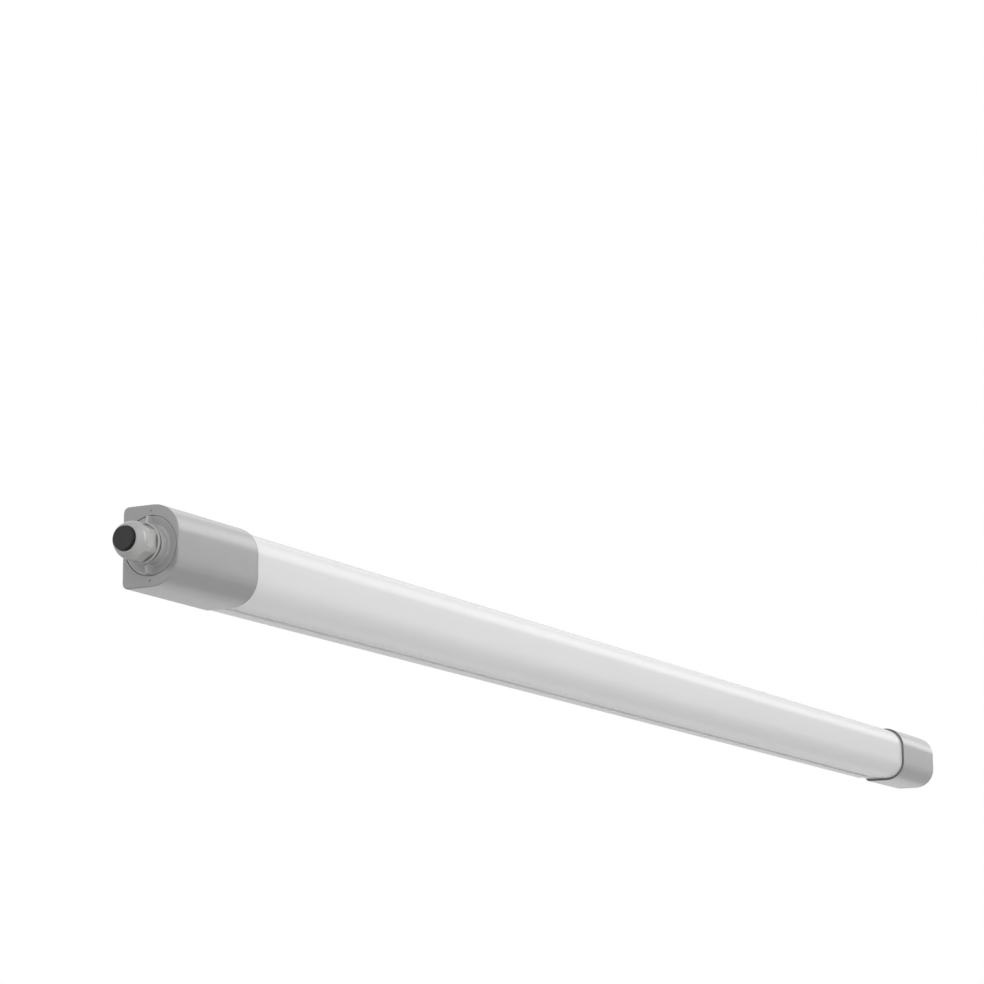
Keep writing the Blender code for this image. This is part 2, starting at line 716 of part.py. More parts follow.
def disc_profile():
    """The section of the connection disc, from its rim inwards and back along the skirt."""
    rim = Vector((0.0, DISC_RADIUS - DISC_RIM_WIDTH))
    bottom = Vector((-DISH_DEPTH, DISH_RADIUS))
    outer_bend = Vector((-DISH_DEPTH / 2, (rim.y + DISH_RADIUS) / 2))
    flare = Vector((BOSS_FLARE, BOSS_RADIUS))
    inner_bend = Vector((-DISH_DEPTH, BOSS_RADIUS))
    plate_inner = -(DISH_DEPTH + DISC_PLATE)
    bore = GLAND_THREAD_RADIUS + GAP
    ring_inner = SKIRT_RADIUS + BORE_CLEARANCE - GAP - 2 * SEAL_RING_RADIUS
    groove_floor = ring_inner - SEAL_GROOVE_FLOOR
    groove_half = SEAL_RING_RADIUS + GAP
    points = [(-DISC_RIM_EDGE, DISC_RADIUS), (0.0, DISC_RADIUS - DISC_RIM_EDGE), (rim.x, rim.y)]
    points += curve_points(rim, outer_bend, bottom, DISH_STEPS)
    points += curve_points(bottom, inner_bend, flare, DISH_STEPS)
    points += [
        (BOSS_HEIGHT - BOSS_EDGE, BOSS_RADIUS),
        (BOSS_HEIGHT, BOSS_RADIUS - BOSS_EDGE),
        (BOSS_HEIGHT, bore),
        (plate_inner, bore),
        (plate_inner, SKIRT_RADIUS - SKIRT_WALL),
        (-SKIRT_DEPTH, SKIRT_RADIUS - SKIRT_WALL),
        (-SKIRT_DEPTH, SKIRT_RADIUS),
        (-SEAL_RING_DEPTH - groove_half, SKIRT_RADIUS),
        (-SEAL_RING_DEPTH - groove_half, groove_floor),
        (-SEAL_RING_DEPTH + groove_half, groove_floor),
        (-SEAL_RING_DEPTH + groove_half, SKIRT_RADIUS),
        (-DISC_FLANGE, SKIRT_RADIUS),
        (-DISC_FLANGE, DISC_RADIUS),
    ]
    return points


def grip_bar_mesh():
    """A rounded ridge across the disc that rises and widens towards the boss."""
    rim = DISC_RADIUS - DISC_RIM_WIDTH
    edge = SKIRT_RADIUS - GAP
    thin = -DISC_FLANGE + GAP
    deep = -DISH_DEPTH - DISC_PLATE / 2
    end_shares = ((0.0, 0.3, 0.8), (0.35, 0.75, 0.88), (1.0, 1.0, 0.94))
    stations = []
    for along_share, rise_share, width_share in end_shares:
        stations.append((rim - BAR_END * along_share, BAR_RISE * rise_share, width_share, thin))
    root_share = 1.1
    stations.append((edge, BAR_RISE, 1.0, thin))
    stations.append((edge - GAP, BAR_RISE, 1.0, deep))
    stations.append((BOSS_RADIUS - BOSS_EDGE, BAR_ROOT_RISE, root_share, deep))
    section_shares = ((1.0, 0.0), (0.78, 0.25), (0.62, 0.65), (0.5, 0.9), (0.34, 1.0))
    meshes = []
    for side in (-1, 1):
        rings = []
        for z, rise, width_share, base in stations:
            half = BAR_WIDTH / 2 * width_share
            foot = max(base, -DISH_DEPTH)
            flank = [(foot + (rise - foot) * up, half * across) for across, up in section_shares]
            points = [(base, half), *flank]
            points += [(x, -y) for x, y in reversed(points)]
            rings.append([(x, y, side * z) for x, y in points])
        meshes.append(loft("grip_bar", rings))
    return join_meshes("grip_bar", meshes)


def connection_disc(finish, axis):
    """The twist-lock disc with its grip bar, skirt and three lugs."""
    mesh = turned("connection_disc", disc_profile())
    disc = add_object("connection_disc", mesh, finish, axis)
    unite(disc, "grip_bar", grip_bar_mesh(), axis)
    lug_start = -SKIRT_DEPTH
    for index in range(LUG_COUNT):
        middle = 2 * math.pi * index / LUG_COUNT
        outline = sector_outline(
            SKIRT_RADIUS - SKIRT_WALL / 2, SKIRT_RADIUS + LUG_REACH, middle, LUG_ANGLE)
        name = f"disc_lug_{index + 1}"
        unite(disc, name, prism(name, outline, lug_start, lug_start + LUG_THICKNESS), axis)
    return disc


def disc_seal(finish, axis):
    """The O-ring in the skirt's groove."""
    middle = SKIRT_RADIUS + BORE_CLEARANCE - GAP - SEAL_RING_RADIUS
    profile = []
    for step in range(SEAL_STEPS):
        angle = 2 * math.pi * step / SEAL_STEPS
        x = -SEAL_RING_DEPTH + SEAL_RING_RADIUS * math.cos(angle)
        profile.append((x, middle + SEAL_RING_RADIUS * math.sin(angle)))
    return add_object("disc_seal", turned("disc_seal", profile), finish, axis)


def gland_body(finish, axis):
    """The gland body with its flange and clamping fingers."""
    flange_start = BOSS_HEIGHT + GAP
    flange_end = flange_start + GLAND_FLANGE
    profile = [
        (GLAND_INNER_END, GLAND_BORE_RADIUS),
        (GLAND_INNER_END, GLAND_THREAD_RADIUS),
        (flange_start, GLAND_THREAD_RADIUS),
        (flange_start, GLAND_FLANGE_RADIUS),
        (flange_end, GLAND_FLANGE_RADIUS),
        (flange_end, GLAND_TUBE_RADIUS),
        (GLAND_TUBE_TOP, GLAND_TUBE_RADIUS),
        (FINGER_TOP, FINGER_TIP_RADIUS),
        (FINGER_TOP, GLAND_SEAT_RADIUS),
        (GLAND_SEAT_TOP, GLAND_SEAT_RADIUS),
        (GLAND_SEAT_TOP, GLAND_BORE_RADIUS),
    ]
    body = add_object("gland_body", turned("gland_body", profile), finish, axis)
    slits = []
    for index in range(FINGER_COUNT // 2):
        slit = block(
            "slit",
            (GLAND_TUBE_TOP, -FINGER_SLIT / 2, -GLAND_FLANGE_RADIUS),
            (FINGER_TOP + OVERRUN, FINGER_SLIT / 2, GLAND_FLANGE_RADIUS))
        turn = Matrix.Rotation(2 * math.pi * index / FINGER_COUNT, 4, "X")
        cut(body, f"finger_slit_{index + 1}", moved(slit, turn), axis)
        slits.append(slit)
    for slit in slits:
        bpy.data.meshes.remove(slit)
    return body


def hexagon(flats, turn=0.0):
    """A hexagon's (y, z) corners from its size across the flats."""
    radius = flats / 2 / math.cos(math.pi / 6)
    corners = [math.pi / 3 * index + turn for index in range(6)]
    return [(radius * math.cos(angle), radius * math.sin(angle)) for angle in corners]


def gland_locknut(finish, axis):
    """The hexagonal nut that holds the gland body from inside the disc."""
    start = -DISH_DEPTH - DISC_PLATE - GAP
    end = start - LOCKNUT_THICKNESS
    nut = add_object("gland_locknut", prism("gland_locknut", hexagon(LOCKNUT_FLATS), end, start),
                     finish, axis)
    bore_profile = [
        (start + OVERRUN, 0.0),
        (start + OVERRUN, GLAND_THREAD_RADIUS + GAP),
        (end - OVERRUN, GLAND_THREAD_RADIUS + GAP),
        (end - OVERRUN, 0.0),
    ]
    cut(nut, "locknut_bore", turned("locknut_bore", bore_profile, closed=False), axis)
    return nut


def gland_insert(finish, axis):
    """The rubber sealing insert inside the fingers."""
    start = GLAND_SEAT_TOP + GAP
    outer = GLAND_SEAT_RADIUS - GAP
    inner = outer - INSERT_WALL
    crown = INSERT_TOP - INSERT_WALL / 2
    profile = [
        (start, inner),
        (start, outer),
        (crown, outer),
        (INSERT_TOP, outer - INSERT_WALL / 2),
        (INSERT_TOP, inner),
    ]
    return add_object("gland_insert", turned("gland_insert", profile), finish, axis)


def blanking_plug(finish, axis):
    """The dark plug: a stem in the insert and a flat head in the nut's mouth."""
    profile = [
        (PLUG_STEM_START, 0.0),
        (PLUG_STEM_START, PLUG_STEM_RADIUS - PLUG_EDGE),
        (PLUG_STEM_START + PLUG_EDGE, PLUG_STEM_RADIUS),
        (PLUG_HEAD_START, PLUG_STEM_RADIUS),
        (PLUG_HEAD_START, PLUG_HEAD_RADIUS),
        (PLUG_TOP - PLUG_EDGE, PLUG_HEAD_RADIUS),
        (PLUG_TOP, PLUG_HEAD_RADIUS - PLUG_EDGE),
        (PLUG_TOP, 0.0),
    ]
    return add_object("blanking_plug", turned("blanking_plug", profile, closed=False), finish, axis)


def gland_nut(finish, axis):
    """The domed nut: a round collar, six flats, a rounded front and a ledge for the plug."""
    shoulder = Vector((NUT_SHOULDER, NUT_CORNER_RADIUS))
    bulge = Vector((NUT_BULGE, NUT_BULGE_RADIUS))
    dome_end = Vector((NUT_DOME_END, NUT_DOME_END_RADIUS))
    dome = curve_points(shoulder, bulge, dome_end, NUT_DOME_STEPS)
    ledge_front = PLUG_HEAD_START - GAP
    ledge_back = ledge_front - NUT_LEDGE
    profile = [
        (NUT_START, NUT_THREAD_RADIUS),
        (NUT_START, NUT_COLLAR_RADIUS - GAP),
        (NUT_START + GAP, NUT_COLLAR_RADIUS),
        (NUT_COLLAR_TOP, NUT_COLLAR_RADIUS),
        (NUT_COLLAR_TOP, NUT_CORNER_RADIUS),
        (NUT_SHOULDER, NUT_CORNER_RADIUS),
    ]
    profile += dome
    profile += [
        (NUT_TOP, NUT_MOUTH_RADIUS + NUT_MOUTH_EDGE),
        (NUT_TOP, NUT_MOUTH_RADIUS),
        (ledge_front, NUT_MOUTH_RADIUS),
        (ledge_front, NUT_LEDGE_RADIUS),
        (ledge_back, NUT_LEDGE_RADIUS),
        (ledge_back, NUT_CONE_RADIUS),
        (ledge_back - NUT_CONE_DEPTH, NUT_THREAD_RADIUS),
    ]
    nut = add_object("gland_nut", turned("gland_nut", profile), finish, axis)
    for index in range(HEXAGON_SIDES):
        flat = block(
            "nut_flat",
            (NUT_COLLAR_TOP, NUT_FLATS / 2, -NUT_CORNER_RADIUS),
            (NUT_FLATS_TOP, NUT_FLATS / 2 + NUT_CORNER_RADIUS, NUT_CORNER_RADIUS))
        turn = Matrix.Rotation(2 * math.pi * index / HEXAGON_SIDES, 4, "X")
        cut(nut, f"nut_flat_{index + 1}", moved(flat, turn), axis)
        bpy.data.meshes.remove(flat)
    return nut


def x_bar(name, start, end, radius, end_radius=None):
    """A round bar or cone along X."""
    last = radius if end_radius is None else end_radius
    profile = [(start, 0.0), (start, radius), (end, last), (end, 0.0)]
    return turned(name, profile, SMALL_STEPS, closed=False)


def y_bar(name, x, z, start, end, radius):
    """A round bar along Y."""
    turn = Matrix.Rotation(math.pi / 2, 4, "Z")
    return moved(x_bar(name, start, end, radius), Matrix.Translation((x, 0.0, z)) @ turn)


def tray_outline():
    """The tray's section: a wide web with two stiffening legs."""
    leg_inner = TRAY_LEG_SPACING / 2
    leg_outer = leg_inner + TRAY_SHEET
    leg_y = TRAY_BACK_Y + TRAY_LEG_HEIGHT
    half = [
        (-TRAY_FRONT, TRAY_HALF_WIDTH),
        (TRAY_BACK_Y, TRAY_HALF_WIDTH),
        (TRAY_BACK_Y, leg_outer),
        (leg_y, leg_outer),
        (leg_y, leg_inner),
        (TRAY_BACK_Y, leg_inner),
    ]
    return mirrored(half)


def gear_tray(finish):
    """The aluminium profile with its wire holes and screw holes."""
    tray = add_object("gear_tray", prism("gear_tray", tray_outline(), TRAY_START, TRAY_END), finish)
    places = [(SENSOR_HOLE_X, 0.0, WEB_HOLE_RADIUS), (LEAD_HOLE_X, LEAD_HOLE_Z, WEB_HOLE_RADIUS)]
    for x in (EARTH_X, *SCREW_PLACES):
        places.append((x, 0.0, SCREW_SHANK_RADIUS + GAP))
    for index, (x, z, radius) in enumerate(places):
        name = f"web_hole_{index + 1}"
        cut(tray, name, y_bar(name, x, z, -TRAY_FRONT - OVERRUN, TRAY_BACK_Y + OVERRUN, radius))
    return tray


def tray_holder(name, side, length, finish):
    """A moulded U that slips over the web's end and stands on the tube's back wall."""
    inner = side * (TRAY_END - HOLDER_OVERLAP)
    start, end = sorted((inner, inner + side * length))
    foot_y = -TUBE_BACK_INSET - TUBE_WALL - GAP
    half = [
        (HOLDER_FRONT_Y, HOLDER_HALF_WIDTH),
        (foot_y, HOLDER_HALF_WIDTH),
        (foot_y, HOLDER_HALF_WIDTH - HOLDER_WALL),
        (HOLDER_PLATE_Y, HOLDER_HALF_WIDTH - HOLDER_WALL),
    ]
    holder = add_object(name, prism(name, mirrored(half), start, end), finish)
    slot_ends = sorted((inner - side * OVERRUN, side * (TRAY_END + GAP)))
    low = (slot_ends[0], -TRAY_FRONT - GAP, -HOLDER_HALF_WIDTH - OVERRUN)
    high = (slot_ends[1], TRAY_BACK_Y + GAP, HOLDER_HALF_WIDTH + OVERRUN)
    cut(holder, name + "_slot", block(name + "_slot", low, high))
    return holder


def feed_tray_holder(finish):
    """The long holder, open for the wires, with a shelf for the supply terminal."""
    holder = tray_holder("feed_tray_holder", -1, FEED_HOLDER_LENGTH, finish)
    half = HOLDER_HALF_WIDTH - HOLDER_WALL
    low = (FEED_HOLDER_START - OVERRUN, HOLDER_FRONT_Y - OVERRUN, -half)
    high = (WIRES_UNDER + WINDOW_MARGIN, HOLDER_PLATE_Y + OVERRUN, half)
    cut(holder, "holder_window", block("holder_window", low, high))
    shelf_front = AXIS_Y + TERMINAL_HEIGHT / 2 + GAP
    low = (FEED_HOLDER_START, shelf_front, -half - OVERRUN)
    high = (FEED_HOLDER_START + SHELF_LENGTH, shelf_front + HOLDER_WALL, half + OVERRUN)
    unite(holder, "terminal_shelf", block("terminal_shelf", low, high))
    return holder


def supply_terminal(finish):
    """The mains terminal block: a funnel and a button well for each pole."""
    half_width = TERMINAL_POLES * POLE_PITCH / 2 + TERMINAL_WALL
    low = (TERMINAL_X, AXIS_Y - TERMINAL_HEIGHT / 2, -half_width)
    high = (TERMINAL_X + TERMINAL_LENGTH, AXIS_Y + TERMINAL_HEIGHT / 2, half_width)
    mesh = chamfered_block("supply_terminal", low, high, TERMINAL_WALL / 2)
    terminal = add_object("supply_terminal", mesh, finish)
    well_end = TERMINAL_X + BUTTON_LENGTH - BUTTON_PROUD + BUTTON_TRAVEL + GAP
    half_height = BUTTON_HEIGHT / 2 + GAP
    half_button = BUTTON_WIDTH / 2 + GAP
    rear_end = TERMINAL_X + TERMINAL_LENGTH
    wells = []
    entries = []
    for z in POLE_PLACES:
        well_low = (TERMINAL_X - OVERRUN, BUTTON_Y - half_height, z - half_button)
        well_high = (well_end, BUTTON_Y + half_height, z + half_button)
        wells.append(block("button_well", well_low, well_high))
        place = Matrix.Translation((0.0, ENTRY_Y, z))
        funnel = x_bar("funnel", TERMINAL_X - OVERRUN, TERMINAL_X + ENTRY_FUNNEL,
                       ENTRY_FUNNEL_RADIUS, ENTRY_RADIUS)
        wells.append(moved(funnel, place))
        entry = x_bar("entry", TERMINAL_X + ENTRY_FUNNEL / 2, TERMINAL_X + ENTRY_DEPTH, ENTRY_RADIUS)
        rear = x_bar("rear_entry", rear_end - REAR_ENTRY_DEPTH, rear_end + OVERRUN, WIRE_RADIUS + GAP)
        entries += [moved(entry, place), moved(rear, place)]
    cut(terminal, "terminal_wells", join_meshes("terminal_wells", wells))
    cut(terminal, "terminal_entries", join_meshes("terminal_entries", entries))
    return terminal


def release_button(index, finish):
    """A push button that opens one pole's clamp."""
    name = f"release_button_{index + 1}"
    half_height = BUTTON_HEIGHT / 2
    half_width = BUTTON_WIDTH / 2
    corners = [(-half_height, -half_width), (half_height, -half_width),
               (half_height, half_width), (-half_height, half_width)]
    crown_share = 0.8
    stations = (
        (-BUTTON_PROUD, crown_share),
        (-BUTTON_PROUD * crown_share, 1.0),
        (BUTTON_LENGTH - BUTTON_PROUD, 1.0),
    )
    rings = [[(x, y * share, z * share) for y, z in corners] for x, share in stations]
    place = (TERMINAL_X, BUTTON_Y, POLE_PLACES[index])
    return add_object(name, loft(name, rings), finish, place=place)


def supply_contact(index, finish):
    """A leaf of the clamp that slopes across one wire entry."""
    name = f"supply_contact_{index + 1}"
    z = POLE_PLACES[index]
    near_y = ENTRY_Y + ENTRY_RADIUS - 2 * GAP
    start = TERMINAL_X + ENTRY_FUNNEL + GAP
    end = TERMINAL_X + ENTRY_DEPTH - GAP
    rings = []
    for x, y in ((start, near_y), ((start + end) / 2, near_y), (end, near_y - CONTACT_THICKNESS)):
        back = y - CONTACT_THICKNESS
        low_z = z - CONTACT_WIDTH / 2
        high_z = z + CONTACT_WIDTH / 2
        rings.append([(x, back, low_z), (x, y, low_z), (x, y, high_z), (x, back, high_z)])
    return add_object(name, loft(name, rings), finish)


def led_board(index, finish):
    """One LED board on the tray's web with its row of packages."""
    name = f"led_board_{index + 1}"
    middle = BOARDS_CENTRE + BOARD_SPACING * (index - (BOARD_COUNT - 1) / 2)
    low = (middle - BOARD_LENGTH / 2, BOARD_FRONT_Y, -BOARD_WIDTH / 2)
    high = (middle + BOARD_LENGTH / 2, BOARD_BACK_Y, BOARD_WIDTH / 2)
    board = add_object(name, block(name, low, high), finish)
    pitch = BOARD_LENGTH / LED_COUNT
    packages = []
    for place in range(LED_COUNT):
        x = middle + pitch * (place - (LED_COUNT - 1) / 2)
        low = (x - LED_LENGTH / 2, BOARD_FRONT_Y - LED_HEIGHT, -LED_WIDTH / 2)
        high = (x + LED_LENGTH / 2, BOARD_FRONT_Y + BOARD_THICKNESS / 2, LED_WIDTH / 2)
        packages.append(block("package", low, high))
    unite(board, name + "_packages", join_meshes(name + "_packages", packages))
    return board


def board_link(index, finish):
    """A small connector across the gap between two boards, beside the packages."""
    name = f"board_link_{index + 1}"
    foot = BOARD_FRONT_Y - GAP
    shoulder_share = 0.6
    half_width = LINK_WIDTH / 2
    middle = -BOARD_WIDTH / 2 + half_width + GAP
    x = BOARDS_CENTRE + BOARD_SPACING * (index + 1 - BOARD_COUNT / 2)
    outline = [
        (foot, middle - half_width),
        (foot - LINK_HEIGHT * shoulder_share, middle - half_width),
        (foot - LINK_HEIGHT, middle - half_width * shoulder_share),
        (foot - LINK_HEIGHT, middle + half_width * shoulder_share),
        (foot - LINK_HEIGHT * shoulder_share, middle + half_width),
        (foot, middle + half_width),
    ]
    return add_object(name, prism(name, outline, x - LINK_LENGTH / 2, x + LINK_LENGTH / 2), finish)


def driver_case(finish):
    """The driver's potted base, cut down to a foot and a terminal ledge at each end."""
    half = DRIVER_WIDTH / 2
    low = (DRIVER_START, DRIVER_BACK_Y, -half)
    high = (DRIVER_END, DRIVER_BACK_Y + DRIVER_HEIGHT - DRIVER_SHEET - GAP, half)
    case = add_object("driver_case", block("driver_case", low, high), finish)
    reach = DRIVER_FOOT + DRIVER_TERMINAL_LENGTH
    for index, (x, side) in enumerate(((DRIVER_START, -1), (DRIVER_END, 1))):
        notch_ends = sorted((x + side * OVERRUN, x - side * reach))
        notch_low = (notch_ends[0], DRIVER_BACK_Y + DRIVER_SHEET, -half - OVERRUN)
        notch_high = (notch_ends[1], high[1] + OVERRUN, half + OVERRUN)
        name = f"driver_foot_{index + 1}"
        cut(case, name, block(name, notch_low, notch_high))
    foot_top = DRIVER_BACK_Y + DRIVER_SHEET
    for index, x in enumerate(SCREW_PLACES):
        name = f"driver_hole_{index + 1}"
        hole = y_bar(name, x, 0.0, DRIVER_BACK_Y - OVERRUN, foot_top + OVERRUN, SCREW_SHANK_RADIUS + GAP)
        cut(case, name, hole)
    return case


def driver_cover(finish):
    """The driver's lid, folded down over both sides of the potted base."""
    lid_y = DRIVER_BACK_Y + DRIVER_HEIGHT
    inner = DRIVER_WIDTH / 2 + GAP
    outer = inner + DRIVER_SHEET
    skirt_y = DRIVER_BACK_Y + DRIVER_SKIRT_START
    half = [
        (skirt_y, inner),
        (skirt_y, outer),
        (lid_y - DRIVER_SHEET / 2, outer),
        (lid_y, outer - DRIVER_SHEET / 2),
    ]
    start = DRIVER_START + DRIVER_FOOT + DRIVER_TERMINAL_LENGTH + GAP
    end = DRIVER_END - DRIVER_FOOT - DRIVER_TERMINAL_LENGTH - GAP
    inside = [(lid_y - DRIVER_SHEET, -inner), (lid_y - DRIVER_SHEET, inner)]
    left = [(y, -z) for y, z in half]
    outline = inside + half + list(reversed(left))
    return add_object("driver_cover", prism("driver_cover", outline, start, end), finish)


def driver_terminal(name, end_x, side, poles, finish):
    """A block of wire clamps on the driver's ledge; the entries face outwards."""
    outer = end_x - side * DRIVER_FOOT
    start, end = sorted((outer, outer - side * (DRIVER_TERMINAL_LENGTH - GAP)))
    low_y = DRIVER_BACK_Y + DRIVER_SHEET + GAP
    high_y = low_y + DRIVER_TERMINAL_HEIGHT
    half = DRIVER_TERMINAL_WIDTH / 2
    mesh = chamfered_block(name, (start, low_y, -half), (end, high_y, half), DRIVER_SHEET / 2)
    terminal = add_object(name, mesh, finish)
    holes = []
    for z in poles:
        ends = sorted((outer + side * OVERRUN, outer - side * DRIVER_ENTRY_DEPTH))
        bar = x_bar("driver_entry", ends[0], ends[1], WIRE_RADIUS + GAP)
        holes.append(moved(bar, Matrix.Translation((0.0, DRIVER_ENTRY_Y, z))))
    cut(terminal, name + "_entries", join_meshes(name + "_entries", holes))
    return terminal


def pan_screw(name, x, head_y, finish):
    """A pan-head screw along Y, its end flush with the front of the tray's web."""
    end = -TRAY_FRONT + GAP
    crown_share = 0.6
    profile = [
        (end, 0.0),
        (end, SCREW_SHANK_RADIUS),
        (head_y, SCREW_SHANK_RADIUS),
        (head_y, SCREW_HEAD_RADIUS),
        (head_y + SCREW_HEAD_HEIGHT * crown_share, SCREW_HEAD_RADIUS),
        (head_y + SCREW_HEAD_HEIGHT, SCREW_HEAD_RADIUS * crown_share),
        (head_y + SCREW_HEAD_HEIGHT, SCREW_RECESS_RADIUS),
        (head_y + SCREW_HEAD_HEIGHT - SCREW_RECESS, SCREW_RECESS_RADIUS * crown_share),
        (head_y + SCREW_HEAD_HEIGHT - SCREW_RECESS, 0.0),
    ]
    screw = turned(name, profile, SMALL_STEPS, closed=False)
    turn = Matrix.Rotation(math.pi / 2, 4, "Z")
    return add_object(name, moved(screw, Matrix.Translation((x, 0.0, 0.0)) @ turn), finish)


def earth_tag(finish):
    """The ring tag under the earth screw, with a crimped barrel for the wire."""
    low_y = TRAY_BACK_Y + GAP
    mesh = y_bar("earth_tag", EARTH_X, 0.0, low_y, low_y + TAG_THICKNESS, TAG_RADIUS)
    tag = add_object("earth_tag", mesh, finish)
    barrel_start = EARTH_X - TAG_RADIUS - TAG_BARREL_LENGTH
    barrel_end = EARTH_X - TAG_RADIUS
    place = Matrix.Translation((0.0, TAG_BARREL_Y, 0.0))
    neck_low = (barrel_start, low_y, -TAG_THICKNESS)
    neck_high = (EARTH_X - TAG_RADIUS / 2, low_y + TAG_THICKNESS, TAG_THICKNESS)
    unite(tag, "tag_neck", block("tag_neck", neck_low, neck_high))
    barrel = x_bar("tag_barrel", barrel_start, barrel_end, WIRE_RADIUS + GAP + TAG_THICKNESS / 2)
    unite(tag, "tag_barrel", moved(barrel, place))
    bore = x_bar("tag_bore", barrel_start - OVERRUN, barrel_end - GAP, WIRE_RADIUS + GAP)
    cut(tag, "tag_bore", moved(bore, place))
    hole = y_bar("tag_hole", EARTH_X, 0.0, low_y - OVERRUN, low_y + TAG_THICKNESS + OVERRUN,
                 SCREW_SHANK_RADIUS + GAP)
    cut(tag, "tag_hole", hole)
    return tag


def sensor_cradle(finish):
    """The moulded plate that carries the sensor board on four posts."""
    half = SENSOR_WIDTH / 2
    low = (SENSOR_START, SENSOR_BASE_Y - SENSOR_BASE, -half)
    high = (SENSOR_END, SENSOR_BASE_Y, half)
    cradle = add_object("sensor_cradle", block("sensor_cradle", low, high), finish)
    inset = 2 * SENSOR_POST_RADIUS
    posts = []
    for x in (SENSOR_START + inset, SENSOR_END - inset):
        for z in (-half + inset, half - inset):
            top = SENSOR_BASE_Y - SENSOR_BASE - SENSOR_POST
            posts.append(y_bar("post", x, z, top, SENSOR_BASE_Y - SENSOR_BASE / 2, SENSOR_POST_RADIUS))
    unite(cradle, "sensor_posts", join_meshes("sensor_posts", posts))
    return cradle


def sensor_board(finish):
    """The sensor's circuit board with a square base for each dial."""
    half = SENSOR_WIDTH / 2
    low = (SENSOR_START, SENSOR_FRONT_Y, -half)
    high = (SENSOR_END, SENSOR_FRONT_Y + SENSOR_BOARD_THICKNESS, half)
    board = add_object("sensor_board", block("sensor_board", low, high), finish)
    reach = DIAL_BASE_WIDTH / 2
    bases = []
    for z in DIAL_PLACES:
        base_low = (DIAL_X - reach, SENSOR_FRONT_Y - DIAL_BASE_HEIGHT, z - reach)
        base_high = (DIAL_X + reach, SENSOR_FRONT_Y + SENSOR_BOARD_THICKNESS / 2, z + reach)
        bases.append(block("dial_base", base_low, base_high))
    unite(board, "dial_bases", join_meshes("dial_bases", bases))
    return board


def sensor_antenna(finish):
    """The microwave antenna: a square plate with a raised patch."""
    half = ANTENNA_WIDTH / 2
    back = SENSOR_FRONT_Y - GAP
    front = back - ANTENNA_THICKNESS
    low = (ANTENNA_X - half, front, -half)
    high = (ANTENNA_X + half, back, half)
    antenna = add_object("sensor_antenna", block("sensor_antenna", low, high), finish)
    reach = PATCH_WIDTH / 2
    patch_low = (ANTENNA_X - reach, front - PATCH_THICKNESS, -reach)
    patch_high = (ANTENNA_X + reach, front + ANTENNA_THICKNESS / 2, reach)
    unite(antenna, "antenna_patch", block("antenna_patch", patch_low, patch_high))
    return antenna


def sensor_shield(finish):
    """The pressed can over the sensor's circuits, open towards the board."""
    back = SENSOR_FRONT_Y - GAP
    front = back - SHIELD_HEIGHT
    low = (SHIELD_X - SHIELD_LENGTH / 2, front, -SHIELD_WIDTH / 2)
    high = (SHIELD_X + SHIELD_LENGTH / 2, back, SHIELD_WIDTH / 2)
    shield = add_object("sensor_shield", block("sensor_shield", low, high), finish)
    hollow_low = (low[0] + SHIELD_WALL, front + SHIELD_WALL, low[2] + SHIELD_WALL)
    hollow_high = (high[0] - SHIELD_WALL, back + OVERRUN, high[2] - SHIELD_WALL)
    cut(shield, "shield_hollow", block("shield_hollow", hollow_low, hollow_high))
    return shield


def setting_dial(name, z, finish):
    """A slotted dial that turns on its base; its origin lies on its axis."""
    crown_share = 0.85
    profile = [
        (0.0, 0.0),
        (0.0, DIAL_RADIUS),
        (-DIAL_HEIGHT * crown_share, DIAL_RADIUS),
        (-DIAL_HEIGHT, DIAL_RADIUS * crown_share),
        (-DIAL_HEIGHT, 0.0),
    ]
    turn = Matrix.Rotation(math.pi / 2, 4, "Z")
    mesh = moved(turned(name, profile, SMALL_STEPS, closed=False), turn)
    place = (DIAL_X, SENSOR_FRONT_Y - DIAL_BASE_HEIGHT - GAP, z)
    dial = add_object(name, mesh, finish, place=place)
    low = (-DIAL_RADIUS - OVERRUN, -DIAL_HEIGHT - OVERRUN, -DIAL_SLOT / 2)
    high = (DIAL_RADIUS / 2, -DIAL_HEIGHT + DIAL_SLOT_DEPTH, DIAL_SLOT / 2)
    cut(dial, name + "_slot", block(name + "_slot", low, high), place=place)
    return dial


def rounded_path(corners, bend):
    """A chain of points with each corner rounded off by a short curve."""
    points = [corners[0]]
    for before, corner, after in zip(corners, corners[1:], corners[2:]):
        inward = (before - corner)
        outward = (after - corner)
        start = corner + inward.normalized() * min(bend, inward.length / 2)
        end = corner + outward.normalized() * min(bend, outward.length / 2)
        for step in range(BEND_STEPS + 1):
            share = step / BEND_STEPS
            first = start.lerp(corner, share)
            points.append(first.lerp(corner.lerp(end, share), share))
    points.append(corners[-1])
    return points


def wire(name, corners, radius, finish):
    """A round wire along a path of rounded corners."""
    path = rounded_path([Vector(corner) for corner in corners], WIRE_BEND)
    curve = bpy.data.curves.new(name, "CURVE")
    curve.dimensions = "3D"
    curve.bevel_depth = radius
    curve.bevel_resolution = 1
    curve.use_fill_caps = True
    spline = curve.splines.new("POLY")
    spline.points.add(len(path) - 1)
    for point, place in zip(spline.points, path):
        point.co = (*place, 1.0)
    spline.use_smooth = True
    return add_object(name, curve, finish)


